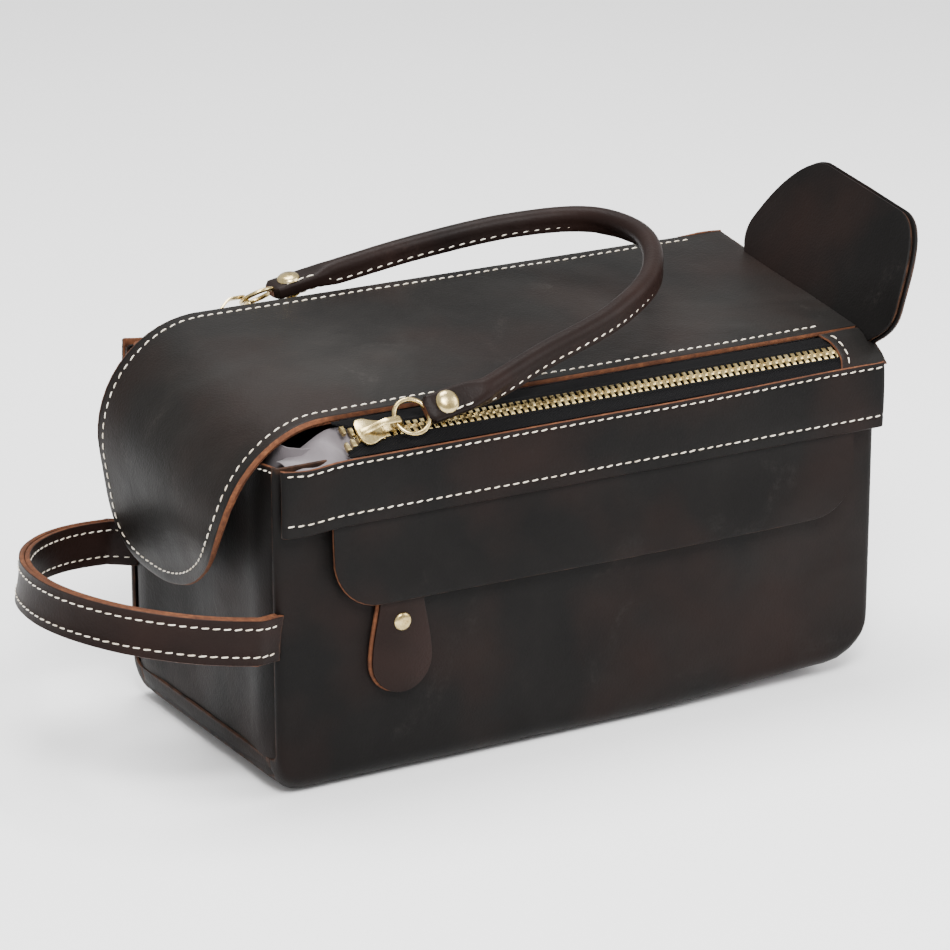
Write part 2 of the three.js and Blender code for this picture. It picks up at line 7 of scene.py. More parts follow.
import bmesh
import bpy
import numpy as np
from mathutils import Matrix, Vector, noise
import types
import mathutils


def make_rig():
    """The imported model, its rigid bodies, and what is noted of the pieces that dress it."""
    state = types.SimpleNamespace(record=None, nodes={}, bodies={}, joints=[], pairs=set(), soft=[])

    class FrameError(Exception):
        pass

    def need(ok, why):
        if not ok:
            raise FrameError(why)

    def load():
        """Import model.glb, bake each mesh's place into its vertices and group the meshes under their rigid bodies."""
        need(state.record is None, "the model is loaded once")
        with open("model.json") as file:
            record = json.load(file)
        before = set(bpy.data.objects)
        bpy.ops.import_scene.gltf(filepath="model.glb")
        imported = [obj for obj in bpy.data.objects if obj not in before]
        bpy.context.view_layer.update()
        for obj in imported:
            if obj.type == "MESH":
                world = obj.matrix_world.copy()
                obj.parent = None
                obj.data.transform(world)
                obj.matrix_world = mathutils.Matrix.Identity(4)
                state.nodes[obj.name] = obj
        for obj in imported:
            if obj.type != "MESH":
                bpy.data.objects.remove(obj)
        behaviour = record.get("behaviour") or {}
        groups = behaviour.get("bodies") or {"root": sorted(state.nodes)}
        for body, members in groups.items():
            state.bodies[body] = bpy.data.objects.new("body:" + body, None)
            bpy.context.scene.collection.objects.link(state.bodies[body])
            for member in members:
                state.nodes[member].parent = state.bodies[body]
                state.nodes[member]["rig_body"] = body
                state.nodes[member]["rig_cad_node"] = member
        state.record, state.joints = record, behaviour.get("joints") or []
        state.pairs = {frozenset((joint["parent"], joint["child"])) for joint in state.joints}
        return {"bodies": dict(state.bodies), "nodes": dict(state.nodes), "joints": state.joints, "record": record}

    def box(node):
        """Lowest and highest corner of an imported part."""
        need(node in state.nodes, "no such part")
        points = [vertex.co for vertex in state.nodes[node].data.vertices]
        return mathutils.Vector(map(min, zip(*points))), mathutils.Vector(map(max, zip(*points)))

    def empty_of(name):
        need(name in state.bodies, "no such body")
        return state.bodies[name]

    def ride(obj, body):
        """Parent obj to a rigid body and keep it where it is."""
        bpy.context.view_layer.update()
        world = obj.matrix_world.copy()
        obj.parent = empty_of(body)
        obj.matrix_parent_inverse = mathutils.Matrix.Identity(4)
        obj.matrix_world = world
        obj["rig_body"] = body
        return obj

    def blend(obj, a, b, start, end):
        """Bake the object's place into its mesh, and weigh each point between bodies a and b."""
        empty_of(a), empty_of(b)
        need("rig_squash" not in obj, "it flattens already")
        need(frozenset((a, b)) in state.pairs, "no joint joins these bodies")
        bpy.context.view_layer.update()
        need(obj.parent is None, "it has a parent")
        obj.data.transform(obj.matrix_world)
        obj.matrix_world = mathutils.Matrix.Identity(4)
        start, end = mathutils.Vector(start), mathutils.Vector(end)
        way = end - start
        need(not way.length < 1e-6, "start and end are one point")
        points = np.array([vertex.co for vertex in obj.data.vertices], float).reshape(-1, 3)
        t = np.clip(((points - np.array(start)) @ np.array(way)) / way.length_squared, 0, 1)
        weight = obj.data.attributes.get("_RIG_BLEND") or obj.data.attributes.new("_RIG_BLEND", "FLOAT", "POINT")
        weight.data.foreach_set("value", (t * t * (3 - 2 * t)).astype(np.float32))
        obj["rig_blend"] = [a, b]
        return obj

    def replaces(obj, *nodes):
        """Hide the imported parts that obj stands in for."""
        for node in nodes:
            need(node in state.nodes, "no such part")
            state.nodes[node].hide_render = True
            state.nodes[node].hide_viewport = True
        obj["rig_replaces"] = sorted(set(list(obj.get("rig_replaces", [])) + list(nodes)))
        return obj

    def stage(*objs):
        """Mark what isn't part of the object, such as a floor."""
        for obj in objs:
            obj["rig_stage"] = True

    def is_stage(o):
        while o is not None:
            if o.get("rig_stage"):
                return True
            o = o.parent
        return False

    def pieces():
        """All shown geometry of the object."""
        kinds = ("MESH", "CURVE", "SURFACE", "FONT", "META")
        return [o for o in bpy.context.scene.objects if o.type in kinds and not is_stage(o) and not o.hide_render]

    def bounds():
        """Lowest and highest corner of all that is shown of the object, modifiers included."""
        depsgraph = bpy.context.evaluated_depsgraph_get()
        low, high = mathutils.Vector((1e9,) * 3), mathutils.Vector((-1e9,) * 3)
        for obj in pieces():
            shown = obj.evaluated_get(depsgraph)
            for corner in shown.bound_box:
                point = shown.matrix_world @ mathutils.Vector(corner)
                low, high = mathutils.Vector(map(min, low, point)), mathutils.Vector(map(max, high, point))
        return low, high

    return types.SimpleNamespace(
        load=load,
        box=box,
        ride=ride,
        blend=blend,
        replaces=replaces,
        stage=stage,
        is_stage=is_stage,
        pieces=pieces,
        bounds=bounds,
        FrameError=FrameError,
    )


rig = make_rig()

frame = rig.load()
CAD_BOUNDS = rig.bounds()
MM = 0.001
RNG = np.random.default_rng(7)


# ---------------------------------------------------------------- sizes read from the frame
@functools.cache
def corners(node):
    return np.array(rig.box(node)) / MM


def low(node):
    return corners(node)[0]


def high(node):
    return corners(node)[1]


def middle(node):
    return (low(node) + high(node)) / 2


def joint(name):
    found = next(j for j in frame["joints"] if j["name"] == name)
    return np.array(found.get("pos_m", (0, 0, 0))) / MM, np.array(found["axis"], float)


HALF_L = high("front_band")[0]
BAND_LOW, BAND_TOP = low("front_band")[2], high("front_band")[2]
BACK_BAND_LOW, BACK_BAND_TOP = low("back_band")[2], high("back_band")[2]
FRONT_Y, BACK_Y = low("front_band")[1], high("back_band")[1]
LAYER = 1.6
FLAP_LOW, FLAP_HIGH = low("pocket_flap"), high("pocket_flap")
LID_FRONT, LID_BACK = low("lid_outer")[1], high("lid_outer")[1]
LID_T = 2.4
LID_TOP = high("top_end_panel")[2]
LID_RISE = (LID_TOP - low("top_end_panel")[2] - LID_T) / (LID_BACK - LID_FRONT)
LID_FRONT_Z = LID_TOP - LID_RISE * (LID_BACK - LID_FRONT)
LID_HINGE_X = joint("lid_open")[0][0]
ROLL_R = 46.0
ROLL_X = low("lid_outer")[0] + ROLL_R
STITCH = 4.3


# ---------------------------------------------------------------- small helpers
def smooth(t):
    t = np.clip(t, 0, 1)
    return t * t * (3 - 2 * t)


def unit(v):
    return v / np.maximum(np.linalg.norm(v, axis=-1, keepdims=True), 1e-9)


def floats(*values):
    """The values as float arrays of one shape."""
    return np.broadcast_arrays(*(np.asarray(value, float) for value in values))


def hump(t, centre, width):
    """A smooth bump of height 1 around the centre."""
    return np.exp(-((t - centre) / width) ** 2)


def squared(value, power):
    """Pushes a sine or cosine towards -1 and 1, so that a circle turns into a rounded square."""
    return np.sign(value) * np.abs(value) ** power


def quarter(t):
    """Height of a quarter circle that starts flat at t = 0 and is upright at t = 1."""
    return 1 - np.sqrt(np.clip(1 - t ** 2, 0, 1))


def ripple(x, y, z, size):
    """Smooth noise from -1 to 1 at each point; size is its grain in mm."""
    arrays = floats(x, y, z)
    flat = np.stack([np.ravel(c) for c in arrays], axis=1) / size
    values = np.array([noise.noise(Vector(p)) for p in flat])
    return values.reshape(arrays[0].shape)


def spread(start, end, step, edge=2.4, edge_steps=(0, 0.35, 0.9, 1.6)):
    """Sample places from start to end, closer together near both ends."""
    count = max(2, int(round((end - start - 2 * edge) / step)) + 1)
    inner = np.linspace(start + edge, end - edge, count)
    near = start + np.array(edge_steps)
    far = end - np.array(edge_steps[::-1])
    return np.concatenate([near, inner, far])


def make_object(name, points, faces, looks, indices=None):
    """A smooth shaded mesh object from points in millimetres."""
    mesh = bpy.data.meshes.new(name)
    mesh.from_pydata((np.asarray(points) * MM).tolist(), [], faces)
    for look in looks:
        mesh.materials.append(look)
    if indices is not None:
        mesh.polygons.foreach_set("material_index", np.asarray(indices, dtype=np.int32))
    mesh.polygons.foreach_set("use_smooth", np.ones(len(faces), bool))
    mesh.update()
    obj = bpy.data.objects.new(name, mesh)
    bpy.context.scene.collection.objects.link(obj)
    return obj


def ring_faces(levels, count, first=0):
    """Faces that join each ring of points to the next one."""
    faces = []
    for level in range(levels - 1):
        for k in range(count):
            a = first + level * count + k
            b = first + level * count + (k + 1) % count
            faces.append((a, b, b + count, a + count))
    return faces


def end_faces(levels, count, first=0):
    """The two faces that close a stack of rings."""
    last = first + (levels - 1) * count
    return [tuple(range(first, first + count))[::-1], tuple(range(last, last + count))]


def crease(obj, degrees=40):
    """Marks edges sharper than the angle, so that smooth shading stops there."""
    mesh = obj.data
    limit = math.radians(degrees)
    faces_of = {}
    for polygon in mesh.polygons:
        for key in polygon.edge_keys:
            faces_of.setdefault(key, []).append(polygon.normal)
    for edge in mesh.edges:
        normals = faces_of.get(edge.key, [])
        if len(normals) == 2 and normals[0].angle(normals[1], 0) > limit:
            edge.use_edge_sharp = True
    return obj


def sheet(name, grid, thickness, looks, keep=None, wear=True):
    """A closed piece of leather. grid is rows x columns of outer points whose normals, taken as
    (along the row) x (along the column), point out; keep marks the cells that exist."""
    rows, cols = grid.shape[:2]
    along = np.gradient(grid, axis=1)
    down = np.gradient(grid, axis=0)
    normal = unit(np.cross(along, down))
    cells = np.ones((rows - 1, cols - 1), bool) if keep is None else keep
    outer = grid.copy()
    inner = grid - normal * thickness
    touching = np.zeros((rows, cols), int)
    for i, j in ((0, 0), (0, 1), (1, 0), (1, 1)):
        touching[i:rows - 1 + i, j:cols - 1 + j] += cells
    border = (touching > 0) & (touching < 4)
    outer[border] -= normal[border] * min(0.3, thickness * 0.2)
    inner[border] += normal[border] * min(0.2, thickness * 0.15)
    index = np.arange(rows * cols).reshape(rows, cols)
    offset = rows * cols
    faces, marks = [], []
    for i, j in zip(*np.nonzero(cells)):
        a, b, c, d = index[i, j], index[i, j + 1], index[i + 1, j + 1], index[i + 1, j]
        faces.append((a, b, c, d))
        faces.append((d + offset, c + offset, b + offset, a + offset))
        marks += [0, 1]
    counts = {}
    for face in faces[::2]:
        for k in range(4):
            edge = (face[k], face[(k + 1) % 4])
            counts[edge] = counts.get(edge, 0) + 1
    rim = [edge for edge in counts if (edge[1], edge[0]) not in counts]
    flat_outer, flat_inner = outer.reshape(-1, 3), inner.reshape(-1, 3)
    centre = np.zeros((offset, 3))
    weight = np.zeros(offset)
    for face in faces[::2]:
        middle_point = flat_outer[list(face)].mean(0)
        for k in face:
            centre[k] += middle_point
            weight[k] += 1
    points = [flat_outer, flat_inner]
    extra = {}
    bulge = []
    for edge in rim:
        for k in edge:
            if k not in extra:
                extra[k] = 2 * offset + len(bulge)
                away = unit(flat_outer[k] - centre[k] / max(weight[k], 1))
                bulge.append((flat_outer[k] + flat_inner[k]) / 2 + away * thickness * 0.22)
    points.append(np.array(bulge).reshape(-1, 3))
    for a, b in rim:
        faces.append((b, a, extra[a], extra[b]))
        faces.append((extra[b], extra[a], a + offset, b + offset))
        marks += [2, 2]
    points = np.concatenate(points)
    used = np.unique(np.concatenate([np.array(f) for f in faces]))
    renumber = np.full(len(points), -1)
    renumber[used] = np.arange(len(used))
    faces = [tuple(int(renumber[k]) for k in face) for face in faces]
    obj = make_object(name, points[used], faces, looks, marks)
    crease(obj, 38)
    if wear:
        near_edge = np.zeros(len(points))
        near_edge[:offset][border.ravel()] = 1
        near_edge[2 * offset:] = 1
        attribute = obj.data.attributes.new("edge_wear", "FLOAT", "POINT")
        attribute.data.foreach_set("value", near_edge[used].astype(np.float32))
    return obj


def dress(body, piece, *nodes):
    """Fixes a piece to a body and lets it stand in for the CAD nodes it covers."""
    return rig.replaces(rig.ride(piece, body), *nodes)


def flat_seam(name, points, normal, body="bag"):
    """A seam along points that all face the same way."""
    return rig.ride(stitches(name, points, np.tile(normal, (len(points), 1))), body)


def bend(piece, body, start, end):
    """Fixes a piece to the bag at start and to the moving body at end, and bends it between."""
    start, end = (tuple(np.array(place, float) * MM) for place in (start, end))
    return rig.blend(piece, "bag", body, start=start, end=end)


def normals_of(place, u, v, step=0.4):
    """Outward normals of a placed surface at flat points (u, v)."""
    along = place(u + step, v) - place(u - step, v)
    down = place(u, v + step) - place(u, v - step)
    return unit(np.cross(along, down))


def length_along(points):
    """The length from a polyline's start to each of its points."""
    steps = np.linalg.norm(np.diff(points, axis=0), axis=1)
    return np.concatenate([[0], np.cumsum(steps)])


def pick(at, length, values):
    """Rows of values at the given lengths, between the rows at the known lengths."""
    return np.stack([np.interp(at, length, column) for column in values.T], axis=1)


def resample(points, normals, pitch):
    """Points, tangents and normals at even steps along a polyline."""
    length = length_along(points)
    count = max(1, int(round(length[-1] / pitch)))
    at = (np.arange(count) + 0.5) * length[-1] / count
    tangent = pick(at + 0.5, length, points) - pick(at - 0.5, length, points)
    return pick(at, length, points), unit(tangent), unit(pick(at, length, normals))


def stitches(name, points, normals, pitch=STITCH, radius=0.33, slant=0.10):
    """One seam of thread: a slim bead for every stitch, lying along the polyline."""
    centre, tangent, normal = resample(points, normals, pitch)
    sides, rings = 6, 7
    t = np.linspace(-1, 1, rings)
    profile = np.sqrt(np.clip(1 - np.abs(t) ** 3.2, 0, 1))
    verts, faces = [], []
    for k in range(len(centre)):
        side = np.cross(normal[k], tangent[k])
        turn = slant + RNG.normal(0, 0.03)
        forward = unit(tangent[k] + side * turn)
        side = unit(np.cross(normal[k], forward))
        half = pitch * 0.41 * (1 + RNG.normal(0, 0.03))
        first = len(verts)
        for ring in range(rings):
            sink = -0.45 * abs(t[ring]) ** 3
            core = centre[k] + forward * half * t[ring] + normal[k] * (0.12 + sink)
            for s in range(sides):
                angle = 2 * math.pi * s / sides
                reach = radius * profile[ring]
                verts.append(core + (side * math.cos(angle) + normal[k] * math.sin(angle)) * reach)
        faces += ring_faces(rings, sides, first)
    return make_object(name, verts, faces, [THREAD])


# ---------------------------------------------------------------- materials
class Nodes:
    """A short way to write a material's node tree."""

    def __init__(self, name):
        self.material = bpy.data.materials.new(name)
        self.material.use_nodes = True
        self.tree = self.material.node_tree
        self.shader = self.tree.nodes["Principled BSDF"]
        self.vector = self.tree.nodes.new("ShaderNodeTexCoord").outputs["Object"]

    def put(self, value, socket):
        """Links another node's output to the socket, or sets the socket's own value."""
        if not isinstance(value, (int, float, tuple)):
            self.tree.links.new(value, socket)
        elif socket.type == "RGBA":
            socket.default_value = grey_or_colour(value)
        else:
            socket.default_value = value

    def texture(self, kind, output, **settings):
        node = self.tree.nodes.new("ShaderNodeTex" + kind)
        self.put(self.vector, node.inputs["Vector"])
        for socket, value in settings.items():
            node.inputs[socket].default_value = value
        return node.outputs[output]

    def noise(self, scale, detail=4.0, rough=0.55, distortion=0.0):
        return self.texture("Noise", "Fac", Scale=scale, Detail=detail, Roughness=rough,
                            Distortion=distortion)

    def cells(self, scale):
        return self.texture("Voronoi", "Distance", Scale=scale)

    def wave(self, scale, direction, distortion=0.0):
        output = self.texture("Wave", "Fac", Scale=scale, Distortion=distortion)
        output.node.bands_direction = direction
        return output

    def ramp(self, source, stops):
        node = self.tree.nodes.new("ShaderNodeValToRGB")
        ramp = node.color_ramp
        for element, stop in zip(ramp.elements, (stops[0], stops[-1])):
            element.position = stop[0]
            element.color = grey_or_colour(stop[1])
        for position, colour in stops[1:-1]:
            ramp.elements.new(position).color = grey_or_colour(colour)
        self.put(source, node.inputs["Fac"])
        return node.outputs["Color"]

    def mix(self, factor, a, b):
        node = self.tree.nodes.new("ShaderNodeMix")
        node.data_type = "RGBA"
        for value, socket in ((factor, 0), (a, 6), (b, 7)):
            self.put(value, node.inputs[socket])
        return node.outputs[2]

    def multiply(self, a, b):
        node = self.tree.nodes.new("ShaderNodeMath")
        node.operation = "MULTIPLY"
        self.put(a, node.inputs[0])
        self.put(b, node.inputs[1])
        return node.outputs[0]

    def attribute(self, name):
        node = self.tree.nodes.new("ShaderNodeAttribute")
        node.attribute_name = name
        return node.outputs["Fac"]

    def bump(self, height, distance, strength, previous=None):
        node = self.tree.nodes.new("ShaderNodeBump")
        node.inputs["Distance"].default_value = distance
        node.inputs["Strength"].default_value = strength
        self.put(height, node.inputs["Height"])
        if previous is not None:
            self.put(previous, node.inputs["Normal"])
        return node.outputs["Normal"]

    def finish(self, colour, roughness, normal=None, **inputs):
        """Fills in the shader and returns the material."""
        self.put(colour, self.shader.inputs["Base Color"])
        self.put(roughness, self.shader.inputs["Roughness"])
        if normal is not None:
            self.put(normal, self.shader.inputs["Normal"])
        for socket, value in inputs.items():
            self.shader.inputs[socket.replace("_", " ")].default_value = value
        return self.material


def grey_or_colour(value):
    if isinstance(value, (int, float)):
        return (value, value, value, 1.0)
    return tuple(value) + (1.0,)


def leather_look(name, dark, mid, pale, tint, gloss=0.46):
    """Waxed pull-up leather: cloudy tone, warm patches, pale scuffs, fine grain and worn edges."""
    n = Nodes(name)
    clouds = n.noise(9, 5, 0.6, 0.4)
    tone = n.ramp(clouds, [(0.30, dark), (0.52, mid), (0.78, pale)])
    warm = n.ramp(n.noise(15, 3, 0.5), [(0.46, 0.0), (0.70, 0.75)])
    tone = n.mix(warm, tone, tint)
    streak = n.noise(60, 8, 0.75, 1.2)
    tone = n.mix(n.ramp(streak, [(0.60, 0.0), (0.78, 0.30)]), tone, pale)
    scuff = n.multiply(n.ramp(n.noise(22, 6, 0.7, 0.8), [(0.60, 0.0), (0.74, 1.0)]),
                   n.ramp(n.noise(420, 4, 0.7), [(0.42, 0.0), (0.66, 0.5)]))
    tone = n.mix(scuff, tone, tuple(min(1.0, c * 2.1) for c in pale))
    worn = n.multiply(n.attribute("edge_wear"), n.noise(160, 3))
    tone = n.mix(n.ramp(worn, [(0.30, 0.0), (0.75, 0.65)]), tone, (0.085, 0.038, 0.020))
    rough = n.mix(n.noise(34, 5, 0.6), gloss - 0.08, gloss + 0.20)
    pores = n.cells(900)
    grain = n.bump(n.noise(1500, 3, 0.6), 0.00006, 0.7)
    grain = n.bump(pores, 0.00010, 0.5, grain)
    creases = n.bump(n.noise(90, 6, 0.65, 1.0), 0.00045, 0.35, grain)
    return n.finish(tone, rough, creases, Specular_IOR_Level=0.075)


def raw_edge_look():
    """The fibrous tan cut edge and flesh side of the leather."""
    n = Nodes("raw_edge")
    tone = n.ramp(n.noise(260, 6, 0.7), [(0.30, (0.040, 0.013, 0.006)), (0.55, (0.100, 0.034, 0.013)),
                                         (0.80, (0.190, 0.072, 0.028))])
    tone = n.mix(n.ramp(n.noise(40, 3), [(0.50, 0.0), (0.75, 0.5)]), tone, (0.050, 0.017, 0.007))
    fibres = n.bump(n.noise(1400, 5, 0.8), 0.00016, 0.9)
    return n.finish(tone, 0.86, fibres, Specular_IOR_Level=0.25)


def thread_look():
    """Waxed cream thread with a visible twist."""
    n = Nodes("thread")
    tone = n.ramp(n.noise(120, 2), [(0.35, (0.60, 0.52, 0.40)), (0.65, (0.78, 0.72, 0.61))])
    twist = n.bump(n.wave(900, "DIAGONAL"), 0.00010, 0.6)
    return n.finish(tone, 0.6, twist, Sheen_Weight=0.2)


def brass_look():
    """Pale antique brass: bright high spots over a darker patina."""
    n = Nodes("antique_brass")
    patina = n.ramp(n.noise(180, 5, 0.7), [(0.32, (0.20, 0.135, 0.050)), (0.50, (0.50, 0.385, 0.175)),
                                           (0.75, (0.72, 0.60, 0.34))])
    rough = n.mix(n.noise(420, 4), 0.16, 0.36)
    marks = n.bump(n.noise(900, 3, 0.6), 0.00003, 0.6)
    return n.finish(patina, rough, marks, Metallic=1.0)


def tape_look():
    """Black woven zip tape."""
    n = Nodes("zip_tape_weave")
    rows = n.wave(520, "X", 0.6)
    cross = n.wave(520, "DIAGONAL", 0.4)
    weave = n.multiply(rows, cross)
    tone = n.ramp(weave, [(0.10, (0.002, 0.002, 0.0022)), (0.80, (0.012, 0.011, 0.012))])
    return n.finish(tone, 0.92, n.bump(weave, 0.00045, 1.0), Specular_IOR_Level=0.12)


def lining_look():
    """Grey-mauve lining cloth with a fine weave and soft sheen."""
    n = Nodes("lining")
    tone = n.ramp(n.noise(30, 4), [(0.30, (0.070, 0.059, 0.064)), (0.70, (0.150, 0.130, 0.139))])
    weave = n.multiply(n.wave(900, "X"), n.wave(900, "Z"))
    return n.finish(tone, 0.78, n.bump(weave, 0.00012, 0.5), Sheen_Weight=0.3)


BODY_TONES = ((0.0030, 0.0027, 0.0026), (0.0054, 0.0048, 0.0045), (0.0120, 0.0106, 0.0098))
LEATHER = leather_look("body_leather", *BODY_TONES, (0.0120, 0.0064, 0.0052))
# The lid's leather is a brighter copy of the body leather. Its lighter tones are painted light for the lid's top,
# which faces the lamps, and the zip end patches share it.
PAINTED_LIGHT_LID_LEATHER = leather_look("lid_leather", (0.0045, 0.0041, 0.0038), (0.0090, 0.0081, 0.0074),
                           (0.0230, 0.0207, 0.0190), (0.0140, 0.0085, 0.0070), 0.40)
STRAP_LEATHER = leather_look("strap_leather", (0.0055, 0.0033, 0.0028), (0.0100, 0.0058, 0.0048),
                             (0.0210, 0.0130, 0.0108), (0.0170, 0.0080, 0.0062), 0.38)
RAW_EDGE = raw_edge_look()
THREAD = thread_look()
BRASS = brass_look()
TAPE = tape_look()
LINING = lining_look()
BODY_LOOKS = [LEATHER, RAW_EDGE, RAW_EDGE]
SEAM_LOOKS = [LEATHER, LEATHER, LEATHER]
PAINTED_LIGHT_LID_LOOKS = [PAINTED_LIGHT_LID_LEATHER, RAW_EDGE, RAW_EDGE]
STRAP_LOOKS = [STRAP_LEATHER, RAW_EDGE, RAW_EDGE]


# ---------------------------------------------------------------- body of the bag
PANEL_OUT, PANEL_IN = low("front_panel")[1], high("back_panel")[1]
PANEL_TOP, BACK_PANEL_TOP = high("front_panel")[2], high("back_panel")[2]
BODY_T = 1.9
FOOT = 0.3
FOOT_R = 9.0
FOOT_ARC = math.pi / 2 * FOOT_R
CORNER_L, CORNER_R = 12.0, 19.0
SIDE_R = 3.2
WINDOW_X = (-106, 112)


def body_profile():
    """The front, base and back as one line in Y and Z, with its length at each point."""
    bend = np.linspace(0, math.pi / 2, 13)
    front = np.stack([PANEL_OUT + FOOT_R - FOOT_R * np.cos(bend), FOOT + FOOT_R - FOOT_R * np.sin(bend)], 1)
    back = np.stack([PANEL_IN - FOOT_R + FOOT_R * np.cos(bend), front[:, 1]], 1)[::-1]
    line = np.concatenate([[[PANEL_OUT, PANEL_TOP]], front, back, [[PANEL_IN, BACK_PANEL_TOP]]])
    return line, length_along(line)


PROFILE, PROFILE_AT = body_profile()
FRONT_END = PROFILE_AT[1]
BACK_START = PROFILE_AT[-2]
WRAP_END = PROFILE_AT[-1]


def foot_lift(x):
    """How far the lower edge rises as it rounds up into each end."""
    left = np.clip((-HALF_L + CORNER_L - x) / CORNER_L, 0, 0.995)
    right = np.clip((x - HALF_L + CORNER_R) / CORNER_R, 0, 0.995)
    sag = 4.5 * smooth((x - 20) / 110)
    return CORNER_L * quarter(left) + CORNER_R * quarter(right) + sag


def end_turn(x, radius, half=HALF_L):
    """How far a surface turns inwards as it reaches the seam at either end."""
    past = np.clip((np.abs(x) - half + radius) / radius, 0, 1)
    return radius * quarter(past)


def wrap(x, v):
    """The body's skin: v runs down the front, under the base and up the back."""
    x, v = floats(x, v)
    y = np.interp(v, PROFILE_AT, PROFILE[:, 0])
    z = np.interp(v, PROFILE_AT, PROFILE[:, 1])
    outward = np.clip((v - FRONT_END) / (FOOT_ARC), 0, 1) * math.pi / 2
    rising = np.clip((v - BACK_START + FOOT_ARC) / (FOOT_ARC), 0, 1) * math.pi / 2
    angle = outward + rising
    ny, nz = -np.cos(angle), -np.sin(angle)
    across = np.cos(np.clip(x / HALF_L, -1, 1) * math.pi / 2) ** 0.6
    height = smooth((z - 2) / 26) * smooth((112 - z) / 34)
    standing = np.abs(ny)
    puff = 1.5 * across * height * standing
    puff = puff + ripple(x, y, z, 62) * 0.55 * height * standing * smooth((HALF_L - np.abs(x)) / 14)
    puff = puff + ripple(x, y, z, 17) * 0.16 * smooth((112 - z) / 12) * smooth((HALF_L - np.abs(x)) / 8)
    puff = puff - end_turn(x, SIDE_R)
    z = z + foot_lift(x) * np.clip(1 - z / 60, 0, 1)
    end = np.clip(x, -HALF_L, HALF_L) - np.sign(x) * 0.35 * (1 - smooth((z - 4) / 30))
    return np.stack([end, y + ny * puff, z + nz * np.maximum(puff, -SIDE_R)], axis=-1)


def flipped(grid):
    """Reverses the rows' direction, for a grid whose normals would point in."""
    return grid[:, ::-1]


def columns(step, edge=8, edge_steps=(0, 0.25, 0.7, 1.4, 2.3, 3.4, 4.8)):
    return spread(-HALF_L, HALF_L, step, edge, edge_steps)


def add_body():
    """Front, base and back skins; the front has the pocket opening behind the flap."""
    window_low, window_high = low("pocket_tape_lower")[2], high("pocket_tape_upper")[2]
    x = np.union1d(columns(5.5), WINDOW_X)
    front_v = np.union1d(np.linspace(0, FRONT_END, 32), (PANEL_TOP - window_high, PANEL_TOP - window_low))
    front_v = np.concatenate([front_v, FRONT_END + np.linspace(0.12, 1, 7) * FOOT_ARC])
    mid_x, mid_v = (x[1:] + x[:-1]) / 2, (front_v[1:] + front_v[:-1]) / 2
    hole_x = (mid_x > WINDOW_X[0]) & (mid_x < WINDOW_X[1])
    hole_v = (mid_v > PANEL_TOP - window_high) & (mid_v < PANEL_TOP - window_low)
    keep = ~(hole_v[:, None] & hole_x[None, :])
    grid = flipped(wrap(x[None, :], front_v[:, None]))
    front = sheet("front_skin", grid, BODY_T, SEAM_LOOKS, keep[:, ::-1])
    dress("bag", front, "front_panel")

    base_v = np.linspace(FRONT_END + FOOT_ARC + 0.4, BACK_START - FOOT_ARC - 0.4, 22)
    base = sheet("base_skin", flipped(wrap(x[None, :], base_v[:, None])), BODY_T, SEAM_LOOKS)
    dress("bag", base, "base_panel")

    back_v = np.linspace(BACK_START, WRAP_END, 32)
    back_v = np.concatenate([BACK_START - np.linspace(1, 0.12, 7) * FOOT_ARC, back_v])
    back = sheet("back_skin", flipped(wrap(x[None, :], back_v[:, None])), BODY_T, SEAM_LOOKS)
    dress("bag", back, "back_panel")


def gusset(side):
    """Returns the placed surface of an end panel; u runs from front to back, v is the height."""
    front, back = PANEL_OUT + SIDE_R * 0.75, PANEL_IN - SIDE_R * 0.75

    def place(u, v):
        u, v = floats(u, v)
        across = (u - front) / (back - front)
        near = np.minimum(u - front, back - u)
        turn = 5.0
        lip = turn * quarter(np.clip(1 - near / turn, 0, 1))
        pillow = 2.4 * hump(near, 12, 11) - 0.6
        crease = 1.3 * hump(across, 0.56 + 0.05 * np.sin(v / 30), 0.13) * smooth(v / 60)
        soft = ripple(u, v, side * 50, 38) * 0.8 + ripple(u, v, side * 90, 14) * 0.18
        inner = smooth(near / 9)
        fade = smooth((v - foot_lift(side * (HALF_L - 1.2)).min() + 2) / 24)
        x = HALF_L - 1.4 - lip * 0.9 + (pillow * fade - crease * fade + soft * 0.6) * inner
        top_in = 2.2 * smooth((v - 118) / 18)
        return np.stack([side * (x - top_in * inner), u, v], axis=-1)

    return place, front, back


def add_gusset(name, node, side):
    """One end panel, its top edge following the slope of the lid, and its seam."""
    place, front, back = gusset(side)
    foot = 6.0 if side < 0 else 14.0
    u = spread(front, back, 5.5, 5, (0, 0.2, 0.6, 1.2, 2.0, 3.2))
    t = np.concatenate([np.linspace(0, 0.08, 5), np.linspace(0.1, 0.96, 24), np.linspace(0.97, 1, 4)])
    corner = 10.0
    near = np.minimum(u - front, back - u)
    rise = corner * quarter(np.clip(1 - near / corner, 0, 1))
    if side < 0:
        top = 134.2 + LID_RISE * (u - PANEL_OUT) - 5.0 * smooth(near / 26)
    else:
        lid_under = LID_FRONT_Z - LID_T - 0.6 + LID_RISE * (u - LID_FRONT)
        top = np.interp(u, (front, LID_FRONT - 2, LID_BACK + 2, back),
                        (135.5, lid_under[0] + 1.0, lid_under[-1] - 1.0, 152.0))
    v = (foot + rise)[None, :] * (1 - t[:, None]) + top[None, :] * t[:, None]
    grid = place(np.broadcast_to(u[None, :], v.shape), v)
    piece = sheet(name, grid if side > 0 else flipped(grid), BODY_T, BODY_LOOKS)
    dress("bag", piece, node)
    line = np.linspace(front + 2.2, back - 2.2, 60)
    edge = np.interp(line, u, top) - 1.9
    flat_seam(name + "_stitches", place(line, edge), (side * 1.0, 0, 0.0))


